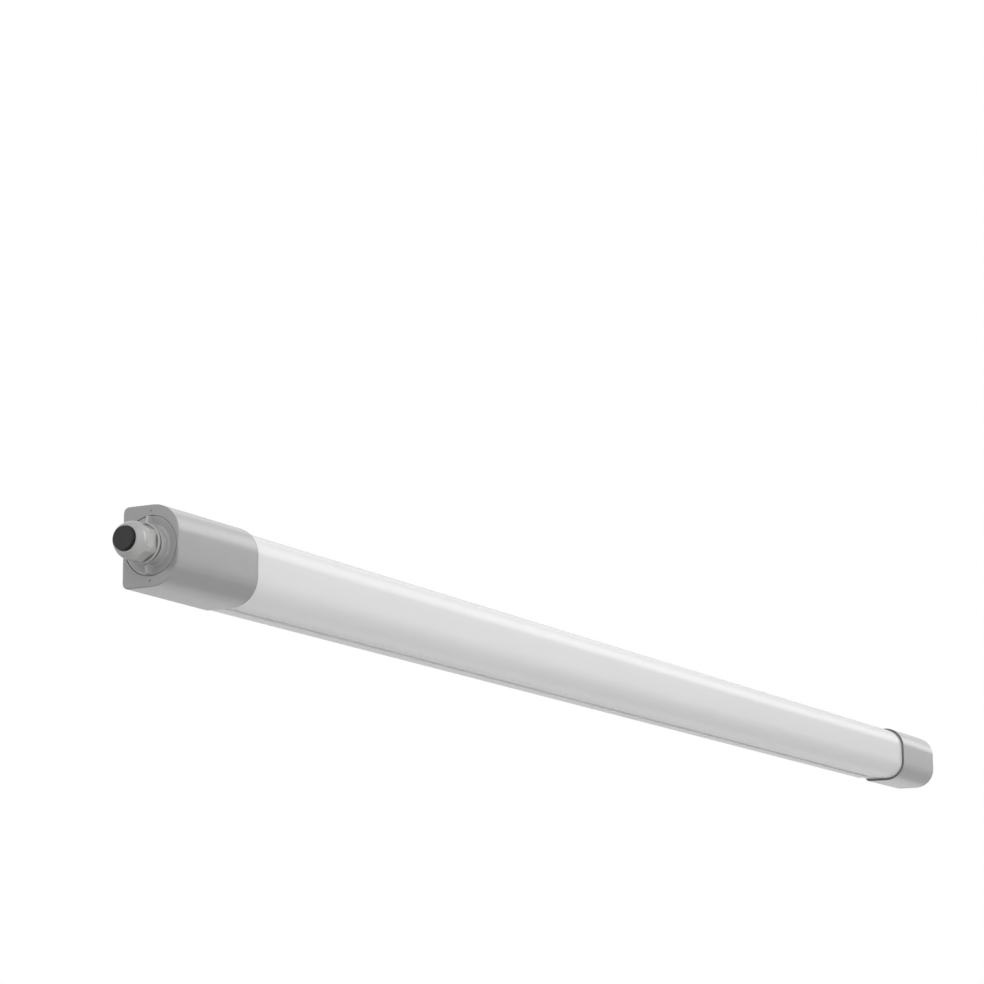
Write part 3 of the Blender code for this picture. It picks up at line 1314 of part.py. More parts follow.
def supply_wires(brown, blue, green):
    """The live and neutral wires to the driver and the earth wire to the tray."""
    start = TERMINAL_X + TERMINAL_LENGTH - REAR_ENTRY_DEPTH + GAP
    driver_end = DRIVER_START + DRIVER_FOOT + DRIVER_ENTRY_DEPTH - GAP
    for name, finish, pole, z in (
        ("live_wire", brown, POLE_PLACES[0], DRIVER_POLES[0]),
        ("neutral_wire", blue, POLE_PLACES[-1], DRIVER_POLES[-1]),
    ):
        corners = [(start, ENTRY_Y, pole), (WIRES_LEAVE, ENTRY_Y, pole),
                   (WIRES_UNDER, DRIVER_ENTRY_Y, z), (driver_end, DRIVER_ENTRY_Y, z)]
        wire(name, corners, WIRE_RADIUS, finish)
    tag_start = EARTH_X - TAG_RADIUS - TAG_BARREL_LENGTH
    corners = [(start, ENTRY_Y, 0.0), (WIRES_LEAVE, ENTRY_Y, 0.0), (WIRES_UNDER, DRIVER_ENTRY_Y, 0.0),
               (tag_start - 3 * WIRE_BEND, DRIVER_ENTRY_Y, 0.0),
               (tag_start - WIRE_BEND, TAG_BARREL_Y, 0.0),
               (EARTH_X - TAG_RADIUS - 2 * GAP, TAG_BARREL_Y, 0.0)]
    wire("earth_wire", corners, WIRE_RADIUS, green)


def led_leads(red, black):
    """The two leads from the driver, up through the web, to the second board."""
    start = DRIVER_END - DRIVER_FOOT - DRIVER_ENTRY_DEPTH + GAP
    lay_y = BOARD_FRONT_Y - GAP - LEAD_RADIUS
    for index, (name, finish) in enumerate((("led_lead_positive", red), ("led_lead_negative", black))):
        pole = DRIVER_OUTPUT_POLES[index]
        offset = (LEAD_RADIUS + GAP) * (1 if index == 0 else -1)
        hole_x = LEAD_HOLE_X - offset
        pad_z = BOARD_WIDTH / 2 - LEAD_RADIUS - offset
        corners = [(start, DRIVER_ENTRY_Y, pole),
                   (DRIVER_END + WIRE_BEND, DRIVER_ENTRY_Y, pole),
                   (hole_x, DRIVER_ENTRY_Y, LEAD_HOLE_Z),
                   (hole_x, lay_y, LEAD_HOLE_Z),
                   (LEAD_HOLE_X + WIRE_BEND, lay_y, pad_z),
                   (LEAD_HOLE_X + 2 * WIRE_BEND, lay_y, pad_z)]
        wire(name, corners, LEAD_RADIUS, finish)


def sensor_lead(finish):
    """The lead from the sensor board's edge, through the web, to the driver."""
    board_y = SENSOR_FRONT_Y + SENSOR_BOARD_THICKNESS / 2
    corners = [(SENSOR_END + GAP, board_y, 0.0),
               (SENSOR_HOLE_X, board_y, 0.0),
               (SENSOR_HOLE_X, DRIVER_ENTRY_Y, 0.0),
               (DRIVER_START + DRIVER_FOOT + DRIVER_ENTRY_DEPTH - GAP, DRIVER_ENTRY_Y, 0.0)]
    wire("sensor_lead", corners, LEAD_RADIUS, finish)


def housing_parts():
    """The opal tube, both caps and their seals."""
    grey = material("silver_grey_plastic", (0.42, 0.42, 0.42), 0.35)
    opal = material("opal_plastic", (0.86, 0.86, 0.86), 0.3)
    rubber = material("dark_rubber", (0.06, 0.06, 0.06), 0.8)
    axis = bpy.data.objects.new("feed_axis", None)
    bpy.context.scene.collection.objects.link(axis)
    axis.location = (FEED_X, AXIS_Y, 0.0)
    axis.rotation_euler = (0.0, 0.0, math.pi)
    diffuser_tube(opal)
    feed_end_cap(grey, axis)
    blind_end_cap(grey)
    cap_gasket("feed_cap_gasket", -1, rubber)
    cap_gasket("blind_cap_gasket", 1, rubber)
    connection_disc(grey, axis)
    disc_seal(rubber, axis)
    gland_insert(rubber, axis)
    return axis


def gland_parts(axis):
    """The cable gland in the disc and its blanking plug."""
    light_grey = material("light_grey_plastic", (0.58, 0.58, 0.57), 0.4)
    black = material("black_plastic", (0.04, 0.04, 0.04), 0.5)
    gland_body(light_grey, axis)
    gland_locknut(light_grey, axis)
    blanking_plug(black, axis)
    gland_nut(light_grey, axis)


def tray_parts():
    """The tray with its holders, boards and sensor."""
    aluminium = material("aluminium", (0.75, 0.75, 0.77), 0.35, 1.0)
    white = material("white_plastic", (0.8, 0.8, 0.78), 0.4)
    white_board = material("white_board", (0.78, 0.78, 0.76), 0.45)
    green_board = material("green_board", (0.04, 0.2, 0.09), 0.4)
    steel = material("tinned_steel", (0.7, 0.7, 0.72), 0.3, 1.0)
    orange = material("orange_plastic", (0.85, 0.3, 0.05), 0.45)
    gear_tray(aluminium)
    feed_tray_holder(white)
    tray_holder("blind_tray_holder", 1, HOLDER_LENGTH, white)
    for index in range(BOARD_COUNT):
        led_board(index, white_board)
    for index in range(BOARD_COUNT - 1):
        board_link(index, white)
    sensor_cradle(white)
    sensor_board(green_board)
    sensor_antenna(white_board)
    sensor_shield(steel)
    for name, z in zip(("reach_dial", "time_dial", "twilight_dial"), DIAL_PLACES):
        setting_dial(name, z, orange)


def supply_parts():
    """The supply terminal, the driver, their screws and their wires."""
    ivory = material("ivory_plastic", (0.75, 0.74, 0.68), 0.4)
    orange = material("button_plastic", (0.85, 0.3, 0.05), 0.45)
    brass = material("brass", (0.75, 0.6, 0.3), 0.3, 1.0)
    zinc = material("zinc_steel", (0.6, 0.6, 0.62), 0.35, 1.0)
    supply_terminal(ivory)
    for index in range(TERMINAL_POLES):
        release_button(index, orange)
        supply_contact(index, brass)
    driver_case(zinc)
    driver_cover(zinc)
    driver_terminal("driver_input_terminal", DRIVER_START, -1, DRIVER_POLES, ivory)
    driver_terminal("driver_output_terminal", DRIVER_END, 1, DRIVER_OUTPUT_POLES, ivory)
    for index, x in enumerate(SCREW_PLACES):
        pan_screw(f"driver_screw_{index + 1}", x, DRIVER_BACK_Y + DRIVER_SHEET + GAP, zinc)
    earth_tag(zinc)
    pan_screw("earth_screw", EARTH_X, TRAY_BACK_Y + GAP + TAG_THICKNESS + GAP, zinc)
    brown = material("brown_insulation", (0.16, 0.07, 0.03), 0.5)
    blue = material("blue_insulation", (0.03, 0.14, 0.5), 0.5)
    green = material("green_insulation", (0.1, 0.4, 0.06), 0.5)
    red = material("red_insulation", (0.6, 0.03, 0.03), 0.5)
    black = material("black_insulation", (0.03, 0.03, 0.03), 0.5)
    grey = material("grey_insulation", (0.35, 0.35, 0.35), 0.5)
    supply_wires(brown, blue, green)
    led_leads(red, black)
    sensor_lead(grey)


def build():
    clear_scene()
    axis = housing_parts()
    gland_parts(axis)
    tray_parts()
    supply_parts()


build()
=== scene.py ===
"""Looks for the sensor luminaire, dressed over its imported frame."""
import math

import bmesh
import bpy
from mathutils import Matrix, Vector


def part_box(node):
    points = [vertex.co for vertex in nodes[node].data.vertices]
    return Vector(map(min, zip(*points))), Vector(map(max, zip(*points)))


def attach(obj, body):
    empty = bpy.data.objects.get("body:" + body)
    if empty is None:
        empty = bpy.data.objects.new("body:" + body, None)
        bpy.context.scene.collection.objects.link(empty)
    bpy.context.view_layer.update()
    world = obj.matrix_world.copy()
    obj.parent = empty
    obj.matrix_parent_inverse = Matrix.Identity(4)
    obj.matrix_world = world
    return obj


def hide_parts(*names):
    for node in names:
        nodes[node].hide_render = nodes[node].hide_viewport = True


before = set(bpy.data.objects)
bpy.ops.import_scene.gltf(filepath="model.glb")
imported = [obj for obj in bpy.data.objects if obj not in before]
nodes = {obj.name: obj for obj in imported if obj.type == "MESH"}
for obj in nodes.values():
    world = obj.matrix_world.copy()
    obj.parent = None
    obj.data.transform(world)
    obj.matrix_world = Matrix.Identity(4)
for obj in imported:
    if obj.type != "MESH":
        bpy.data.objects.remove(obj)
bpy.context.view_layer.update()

MM = 0.001
WELD_DISTANCE = 0.01 * MM
SKIN_WELD_DISTANCE = 0.001 * MM
SMOOTH_ANGLE = math.radians(32)
FLAT_FACE_WEIGHT = 100


# Shader helpers
def new_material(name):
    made = bpy.data.materials.new(name)
    made.use_nodes = True
    tree = made.node_tree
    shader = tree.nodes["Principled BSDF"]
    return made, tree, shader


def coordinates(tree, scale=(1, 1, 1)):
    """Places in the piece's own space, stretched where the scale is below 1."""
    place = tree.nodes.new("ShaderNodeTexCoord")
    mapping = tree.nodes.new("ShaderNodeMapping")
    mapping.inputs["Scale"].default_value = scale
    tree.links.new(place.outputs["Object"], mapping.inputs["Vector"])
    return mapping.outputs["Vector"]


def noise(tree, vector, scale, detail, roughness=0.55):
    made = tree.nodes.new("ShaderNodeTexNoise")
    made.inputs["Scale"].default_value = scale
    made.inputs["Detail"].default_value = detail
    made.inputs["Roughness"].default_value = roughness
    tree.links.new(vector, made.inputs["Vector"])
    return made.outputs["Fac"]


def remap(tree, value, low, high):
    """A value from 0 to 1, spread between two others."""
    made = tree.nodes.new("ShaderNodeMapRange")
    made.inputs["To Min"].default_value = low
    made.inputs["To Max"].default_value = high
    tree.links.new(value, made.inputs["Value"])
    return made.outputs["Result"]


def tinted(tree, value, dark, light):
    """A colour between two others; noise seldom leaves the ramp's middle, so the ramp is narrow."""
    ramp = tree.nodes.new("ShaderNodeValToRGB")
    ramp.color_ramp.elements[0].position = 0.3
    ramp.color_ramp.elements[1].position = 0.7
    ramp.color_ramp.elements[0].color = (*dark, 1)
    ramp.color_ramp.elements[1].color = (*light, 1)
    tree.links.new(value, ramp.inputs["Fac"])
    return ramp.outputs["Color"]


def bumped(tree, shader, height, distance, strength):
    bump = tree.nodes.new("ShaderNodeBump")
    bump.inputs["Distance"].default_value = distance
    bump.inputs["Strength"].default_value = strength
    tree.links.new(height, bump.inputs["Height"])
    tree.links.new(bump.outputs["Normal"], shader.inputs["Normal"])


def maximum(tree, first, second):
    """The larger of two values."""
    made = tree.nodes.new("ShaderNodeMath")
    made.operation = "MAXIMUM"
    tree.links.new(first, made.inputs[0])
    tree.links.new(second, made.inputs[1])
    return made.outputs["Value"]


def scaled(colour, factor):
    return tuple(min(1, part * factor) for part in colour)


def grey(value):
    return value, value, value


# Materials
def moulded(name, colour, roughness, variation=0.03, grain=0.01 * MM, grain_scale=2600, gloss=0.5):
    """Injection-moulded plastic: faint flow clouds in its colour, fine spark-eroded grain in its relief."""
    made, tree, shader = new_material(name)
    clouds = noise(tree, coordinates(tree), scale=60, detail=5)
    colours = tinted(tree, clouds, scaled(colour, 1 - variation), scaled(colour, 1 + variation))
    tree.links.new(colours, shader.inputs["Base Color"])
    shader.inputs["Specular IOR Level"].default_value = gloss
    fine = noise(tree, coordinates(tree), grain_scale, detail=3)
    tree.links.new(remap(tree, clouds, roughness - 0.03, roughness + 0.03), shader.inputs["Roughness"])
    bumped(tree, shader, fine, grain, strength=0.5)
    return made


def opal():
    """Satin opal extrusion: lines drawn along its length, faint milky clouds, light spread in its wall."""
    made, tree, shader = new_material("opal_tube")
    lines = noise(tree, coordinates(tree, (0.4, 1, 1)), scale=700, detail=2, roughness=0.4)
    clouds = noise(tree, coordinates(tree, (0.15, 1, 1)), scale=25, detail=3)
    tree.links.new(tinted(tree, clouds, grey(0.655), (0.675, 0.675, 0.674)), shader.inputs["Base Color"])
    tree.links.new(remap(tree, clouds, 0.22, 0.26), shader.inputs["Roughness"])
    shader.inputs["Specular IOR Level"].default_value = 0.25
    shader.inputs["Subsurface Weight"].default_value = 0.12
    shader.inputs["Subsurface Radius"].default_value = (1, 0.95, 0.9)
    shader.inputs["Subsurface Scale"].default_value = 1.2 * MM
    bumped(tree, shader, lines, 0.004 * MM, strength=0.25)
    return made


def metal(name, colour, roughness, direction, scale=900):
    """Drawn or rolled metal: fine streaks along its working direction."""
    made, tree, shader = new_material(name)
    streaks = noise(tree, coordinates(tree, direction), scale, detail=4, roughness=0.6)
    colours = tinted(tree, streaks, scaled(colour, 0.93), scaled(colour, 1.04))
    tree.links.new(colours, shader.inputs["Base Color"])
    tree.links.new(remap(tree, streaks, roughness - 0.06, roughness + 0.08), shader.inputs["Roughness"])
    shader.inputs["Metallic"].default_value = 1
    bumped(tree, shader, streaks, 0.01 * MM, strength=0.3)
    return made


ALONG = (0.03, 1, 1)
EVEN = (1, 1, 1)
finishes = {
    "cap": moulded("cap_plastic", grey(0.27), 0.2, variation=0.02),
    # Partly painted light: the disc is the caps' own moulded grey, set lighter than the caps so that its dish
    # and grip bar look more brightly lit.
    "disc": moulded("disc_plastic_painted_light", grey(0.375), 0.3, variation=0.02),
    "gland": moulded("gland_plastic", (0.37, 0.37, 0.365), 0.26, variation=0.02),
    "tube": opal(),
    # Painted shade: the gland body is near-black so that the band between the nut's collar and the boss reads
    # as the shadow under the collar.
    "gland_body_painted_shade": moulded("gland_body_painted_shade_plastic", grey(0.1), 0.4, variation=0.04),
    "rubber": moulded("seal_rubber", grey(0.14), 0.6, variation=0.1, grain=0.02 * MM, grain_scale=1500),
    "plug": moulded("plug_rubber", grey(0.01), 0.45, variation=0.1, grain_scale=2000, gloss=0.18),
    "tray": metal("tray_aluminium", (0.72, 0.72, 0.74), 0.35, ALONG),
    "white": moulded("white_nylon", (0.72, 0.72, 0.7), 0.42),
    "board": moulded("board_mask", (0.74, 0.74, 0.72), 0.35, variation=0.02),
    "green": moulded("green_mask", (0.03, 0.17, 0.07), 0.3, variation=0.12),
    "steel": metal("tinned_sheet", (0.66, 0.66, 0.68), 0.3, EVEN, scale=300),
    "zinc": metal("zinc_sheet", (0.56, 0.56, 0.58), 0.35, EVEN, scale=200),
    "brass": metal("contact_brass", (0.72, 0.55, 0.26), 0.3, ALONG),
    "orange": moulded("orange_nylon", (0.8, 0.26, 0.04), 0.42),
    "ivory": moulded("ivory_nylon", (0.7, 0.69, 0.63), 0.45),
    "brown": moulded("brown_sheath", (0.15, 0.065, 0.03), 0.4, variation=0.08),
    "blue": moulded("blue_sheath", (0.03, 0.13, 0.46), 0.4, variation=0.08),
    "earth": moulded("earth_sheath", (0.12, 0.4, 0.06), 0.4, variation=0.08),
    "red": moulded("red_sheath", (0.55, 0.03, 0.03), 0.4, variation=0.08),
    "black": moulded("black_sheath", grey(0.03), 0.4, variation=0.15),
    "grey": moulded("grey_sheath", grey(0.3), 0.4, variation=0.08),
}

worn_by = {
    "cap": ["feed_end_cap", "blind_end_cap"],
    "gland": ["gland_locknut"],
    "gland_body_painted_shade": ["gland_body"],
    "tube": ["diffuser_tube"],
    "rubber": ["feed_cap_gasket", "blind_cap_gasket", "disc_seal", "gland_insert"],
    "tray": ["gear_tray"],
    "white": ["feed_tray_holder", "blind_tray_holder", "sensor_cradle",
              "board_link_1", "board_link_2", "board_link_3"],
    "board": ["led_board_1", "led_board_2", "led_board_3", "led_board_4", "sensor_antenna"],
    "green": ["sensor_board"],
    "steel": ["sensor_shield"],
    "zinc": ["driver_case", "driver_cover", "driver_screw_1", "driver_screw_2", "earth_screw", "earth_tag"],
    "brass": ["supply_contact_1", "supply_contact_2", "supply_contact_3"],
    "orange": ["reach_dial", "time_dial", "twilight_dial",
               "release_button_1", "release_button_2", "release_button_3"],
    "ivory": ["supply_terminal", "driver_input_terminal", "driver_output_terminal"],
    "brown": ["live_wire"],
    "blue": ["neutral_wire"],
    "earth": ["earth_wire"],
    "red": ["led_lead_positive"],
    "black": ["led_lead_negative"],
    "grey": ["sensor_lead"],
}


def smooth_group():
    """A node group that shades faces smooth and keeps edges above the angle sharp."""
    group = bpy.data.node_groups.new("smooth_by_angle", "GeometryNodeTree")
    group.interface.new_socket("Geometry", in_out="INPUT", socket_type="NodeSocketGeometry")
    group.interface.new_socket("Geometry", in_out="OUTPUT", socket_type="NodeSocketGeometry")
    start = group.nodes.new("NodeGroupInput")
    end = group.nodes.new("NodeGroupOutput")
    faces = group.nodes.new("GeometryNodeSetShadeSmooth")
    edges = group.nodes.new("GeometryNodeSetShadeSmooth")
    edges.domain = "EDGE"
    angle = group.nodes.new("GeometryNodeInputMeshEdgeAngle")
    limit = group.nodes.new("FunctionNodeCompare")
    limit.operation = "LESS_EQUAL"
    limit.inputs["B"].default_value = SMOOTH_ANGLE
    group.links.new(angle.outputs["Unsigned Angle"], limit.inputs["A"])
    group.links.new(limit.outputs["Result"], edges.inputs["Shade Smooth"])
    group.links.new(start.outputs[0], faces.inputs["Geometry"])
    group.links.new(faces.outputs["Geometry"], edges.inputs["Geometry"])
    group.links.new(edges.outputs["Geometry"], end.inputs[0])
    return group


smoothing = smooth_group()


def shade(item):
    """Smooth shading with sharp edges kept, and flat faces that stay flat beside rounded ones."""
    smooth = item.modifiers.new("smooth", "NODES")
    smooth.node_group = smoothing
    weights = item.modifiers.new("flat_faces", "WEIGHTED_NORMAL")
    weights.mode = "FACE_AREA"
    weights.weight = FLAT_FACE_WEIGHT
    weights.keep_sharp = True


def dress(node, finish):
    """Give a CAD node its finish, welded corners and smooth shading."""
    item = nodes[node]
    for place in item.material_slots:
        place.material = finishes[finish]
    weld = item.modifiers.new("weld", "WELD")
    weld.merge_threshold = WELD_DISTANCE
    shade(item)


for finish, names in worn_by.items():
    for node in names:
        dress(node, finish)


# Feed end's axis. In the pieces on it, heights above the cap's end face, radii and offsets are in millimetres
END_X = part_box("feed_end_cap")[0].x
NUT_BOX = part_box("gland_nut")
AXIS_Y = (NUT_BOX[0].y + NUT_BOX[1].y) / 2


def on_axis(height, radius, angle):
    """A point beside the axis, in metres; the angle starts at the front and goes up."""
    y = AXIS_Y - radius * MM * math.cos(angle)
    return END_X - height * MM, y, radius * MM * math.sin(angle)


def ring(height, radii):
    """Even points round the axis, one for each radius."""
    steps = len(radii)
    return [on_axis(height, radius, 2 * math.pi * step / steps) for step, radius in enumerate(radii)]


def round_rings(outline, steps):
    """A ring for each (height, radius) of an outline."""
    return [ring(height, [radius] * steps) for height, radius in outline]


def skinned(name, rings, shells=()):
    """A closed mesh through rings of points, the last joined to the first, with other closed shells."""
    steps = len(rings[0])
    vertices = [point for points in rings for point in points]
    faces = []
    for row in range(len(rings)):
        low = row * steps
        high = (row + 1) % len(rings) * steps
        for step in range(steps):
            after = (step + 1) % steps
            faces.append((low + step, low + after, high + after, high + step))
    for points, shell in shells:
        base = len(vertices)
        vertices += points
        faces += [tuple(base + corner for corner in face) for face in shell]
    mesh = bpy.data.meshes.new(name)
    mesh.from_pydata(vertices, [], faces)
    cleaned = bmesh.new()
    cleaned.from_mesh(mesh)
    bmesh.ops.remove_doubles(cleaned, verts=cleaned.verts, dist=SKIN_WELD_DISTANCE)
    bmesh.ops.recalc_face_normals(cleaned, faces=cleaned.faces)
    cleaned.to_mesh(mesh)
    cleaned.free()
    item = bpy.data.objects.new(name, mesh)
    bpy.context.scene.collection.objects.link(item)
    return item


def stand_in(item, node, body, finish):
    """Let a finer piece stand for a CAD node."""
    item.data.materials.append(finishes[finish])
    shade(item)
    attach(item, body)
    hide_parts(node)


def soft_min(first, second, blend):
    """The smaller of two values, rounded where they meet."""
    near = max(blend - abs(first - second), 0) / blend
    return min(first, second) - near * near * blend / 4


def soft_max(first, second, blend):
    return -soft_min(-first, -second, blend)


def curve(start, *pieces):
    """Points on quadratic curves that follow one another, each (control, end, steps), without the start."""
    points = []
    for control, end, steps in pieces:
        for step in range(1, steps + 1):
            share = step / steps
            first = Vector(start).lerp(Vector(control), share)
            second = Vector(control).lerp(Vector(end), share)
            points.append(tuple(first.lerp(second, share)))
        start = end
    return points


def fillet(centre, radius, start, end, steps):
    """Points on an arc of an outline; its degrees are measured from the height axis."""
    points = []
    for step in range(steps + 1):
        angle = math.radians(start + (end - start) * step / steps)
        points.append((centre[0] + radius * math.cos(angle), centre[1] + radius * math.sin(angle)))
    return points


def table(points, place):
    """A value read from a table of (place, value) pairs in rising order."""
    if place <= points[0][0]:
        return points[0][1]
    for (low, first), (high, second) in zip(points, points[1:]):
        if place <= high:
            share = (place - low) / (high - low)
            return first + (second - first) * share
    return points[-1][1]


# Gland nut. A point of an outline is (height, radius), a piece of a curve is (control, end, steps)
NUT_STEPS = 360
NUT_FOOT = 8.8
NUT_BORE = 10.9
COLLAR_RADIUS = 13.8
COLLAR_TOP = 10.8
COLLAR_EDGE = 0.3
COLLAR_GROOVE = ((COLLAR_TOP, 12.9), (10.7, 12.8), (9.6, 12.75))
NUT_BODY = 13.0
NUT_BODY_ROWS = (9.6, 10.6, 11.6, 13, 14, 15, 16, 17, 18, 18.5)
NUT_FLAT = 11.75
NUT_FLAT_HALF_ANGLE = math.radians(21)
NUT_FLAT_END = 21.2
NUT_FLAT_RUN_OUT = 1.8
NUT_FLAT_SIDE = 1.3
NUT_FLAT_BLEND = 0.18
DOME_START = (18.5, NUT_BODY)
MOUTH_START = (28.2, 10.06)
DOME = (((21.8, 12.8), (23.4, 12.35), 14), ((24.3, 12.1), (25.2, 11.6), 10),
        ((26.7, 10.84), MOUTH_START, 8))
MOUTH_TOP = 28.9
MOUTH_BORE = 8.3
MOUTH_EDGE = 0.25
MOUTH = ((28.75, 9.75), (MOUTH_TOP, 9.3), 5)
LEDGE_TOP = 27.8
LEDGE_FOOT = 26.3
LEDGE_BORE = 7.5
LEDGE_ROOT = 9.3
THREAD_TOP = 22.8


def nut_radius(height, body, angle):
    """The nut's radius where six flats are cut into its round body."""
    across = (angle + math.pi / 6) % (math.pi / 3) - math.pi / 6
    run_out = max(0, height - NUT_FLAT_END) * NUT_FLAT_RUN_OUT
    side = max(0, abs(across) - NUT_FLAT_HALF_ANGLE) * NUT_BODY * NUT_FLAT_SIDE
    flat = NUT_FLAT / math.cos(across) + run_out + side
    return soft_min(body, flat, NUT_FLAT_BLEND)


def flatted_ring(height, body):
    """A ring of the nut's body, with the six flats."""
    angles = [2 * math.pi * step / NUT_STEPS for step in range(NUT_STEPS)]
    return ring(height, [nut_radius(height, body, angle) for angle in angles])


def dressed_nut():
    """The domed nut with softened flats, a turned collar and a rounded mouth."""
    collar_rim = COLLAR_RADIUS - COLLAR_EDGE
    collar = [(NUT_FOOT, NUT_BORE), (NUT_FOOT, collar_rim)]
    collar += fillet((NUT_FOOT + COLLAR_EDGE, collar_rim), COLLAR_EDGE, 180, 90, 4)
    collar += fillet((COLLAR_TOP - COLLAR_EDGE, collar_rim), COLLAR_EDGE, 90, 0, 4)
    collar += COLLAR_GROOVE
    body = [(height, NUT_BODY) for height in NUT_BODY_ROWS] + curve(DOME_START, *DOME)
    mouth_rim = MOUTH_BORE + MOUTH_EDGE
    mouth = curve(MOUTH_START, MOUTH) + [(MOUTH_TOP, mouth_rim)]
    mouth += fillet((MOUTH_TOP - MOUTH_EDGE, mouth_rim), MOUTH_EDGE, 0, -90, 4)
    inside = [(LEDGE_TOP, MOUTH_BORE), (LEDGE_TOP, LEDGE_BORE), (LEDGE_FOOT, LEDGE_BORE),
              (LEDGE_FOOT, LEDGE_ROOT), (THREAD_TOP, NUT_BORE)]
    rings = round_rings(collar, NUT_STEPS)
    rings += [flatted_ring(height, radius) for height, radius in body]
    rings += round_rings(mouth + inside, NUT_STEPS)
    return skinned("nut_dressed", rings)


# Blanking plug; its skin closes round a hair-thin core
PLUG_STEPS = 120
PLUG_FOOT = 10.5
PLUG_STEM = 6.5
PLUG_SEAT = 28.1
PLUG_RADIUS = 8.0
PLUG_TOP = 31.4
PLUG_EDGE = 0.6
PLUG_CORE = 0.05
PLUG_FACE = ((31.36, 6.0), (31.34, 3.0), (31.33, PLUG_CORE))


def dressed_plug():
    """The plug with a softly rounded rim."""
    outline = [(PLUG_FOOT, PLUG_CORE), (PLUG_FOOT, PLUG_STEM)]
    outline += [(PLUG_SEAT, PLUG_STEM), (PLUG_SEAT, PLUG_RADIUS)]
    outline += fillet((PLUG_TOP - PLUG_EDGE, PLUG_RADIUS - PLUG_EDGE), PLUG_EDGE, 90, 0, 6)
    outline += PLUG_FACE
    return skinned("plug_dressed", round_rings(outline, PLUG_STEPS))


# Connection disc's face: boss, dish and rim
BOSS_TOP = 5.0
BOSS_BORE = 10.2
BOSS_LAND = 11.0
BOSS_RADIUS = 12.5
BOSS_EDGE = 0.6
BOSS_SIDE = ((3.6, 12.53), (2.8, 12.57), (2.0, 12.63))
DISH = (((-1.3, 12.75), (-1.6, 14.3), 16), ((-1.1, 16.2), (-0.1, 19.2), 16))
RIM_RADIUS = 19.6
RIM_TOP = -0.1
RIM_EDGE = 0.25
RIM_START = (-0.06, RIM_RADIUS - RIM_EDGE)

# Its skirt and lugs
FLANGE_BACK = -1.9
SKIRT_RADIUS = 17.3
SKIRT_BORE = 14.4
SKIRT_END = -13.3
SEAL_FRONT = -4.0
SEAL_BACK = -6.4
SEAL_GROOVE = 15.45
WEB_BACK = -3.8
LUG_COUNT = 3
LUG_FRONT = -11.3
LUG_BACK = -13.25
LUG_ROOT = 15.85
LUG_TIP = 18.9
LUG_HALF_ANGLE = math.radians(12)
LUG_SHARES = (-1, -0.5, 0, 0.5, 1)

# Its grip bar: crest (radius, height), flank (offset from the bar's middle, drop), offsets of mesh columns
BAR_CREST = ((11.0, 4.6), (12.3, 4.7), (12.9, 5.4), (14.0, 5.3), (16.0, 4.9),
             (18.4, 4.4), (18.9, 4.1), (19.1, 3.4), (19.3, 0.8), (19.6, -1.2))
BAR_FLANK = ((0, 0), (0.6, 0.04), (0.8, 0.15), (0.95, 0.4), (1.03, 0.9),
             (1.25, 4.8), (1.5, 6.2), (2.0, 7.0), (9.0, 9.0))
BAR_COLUMNS = (0, 0.3, 0.6, 0.8, 0.95, 1.03, 1.1, 1.17, 1.25, 1.35, 1.5, 1.7, 2.0, 2.4, 3.0, 3.8, 5.0)
BAR_BLEND = 0.6
BAR_REACH = 19.4
SIDE_COLUMNS = 40


def disc_angles(radius):
    """Places round a ring: columns at set offsets from the grip bar's middle, even ones between them."""
    beside = [math.acos(offset / radius) for offset in BAR_COLUMNS]
    between = [beside[-1] * (1 - step / SIDE_COLUMNS) for step in range(1, SIDE_COLUMNS)]
    quarter = beside + between
    half = [0] + quarter[::-1] + [math.pi - angle for angle in quarter[1:]]
    return half + [math.pi + angle for angle in half]


def disc_ring(height, radius):
    """A ring of the disc."""
    return [on_axis(height, radius, angle) for angle in disc_angles(radius)]


def barred_ring(height, radius):
    """A ring of the disc's face, lifted where the grip bar crosses it."""
    points = []
    for angle in disc_angles(radius):
        bar = table(BAR_CREST, radius) - table(BAR_FLANK, abs(radius * math.cos(angle)))
        points.append(on_axis(soft_max(height, bar, BAR_BLEND), radius, angle))
    return points


def lug_shell(index):
    """One lug of the twist lock, as a closed shell."""
    middle = 2 * math.pi * index / LUG_COUNT
    corners = ((LUG_BACK, LUG_ROOT), (LUG_BACK, LUG_TIP), (LUG_FRONT, LUG_TIP), (LUG_FRONT, LUG_ROOT))
    points = []
    for height, radius in corners:
        points += [on_axis(height, radius, middle + LUG_HALF_ANGLE * share) for share in LUG_SHARES]
    last = len(LUG_SHARES) - 1
    edges = [edge * len(LUG_SHARES) for edge in range(len(corners))]
    shell = [tuple(edges), tuple(edge + last for edge in edges)]
    for low, high in zip(edges, edges[1:] + edges[:1]):
        shell += [(low + step, low + step + 1, high + step + 1, high + step) for step in range(last)]
    return points, shell


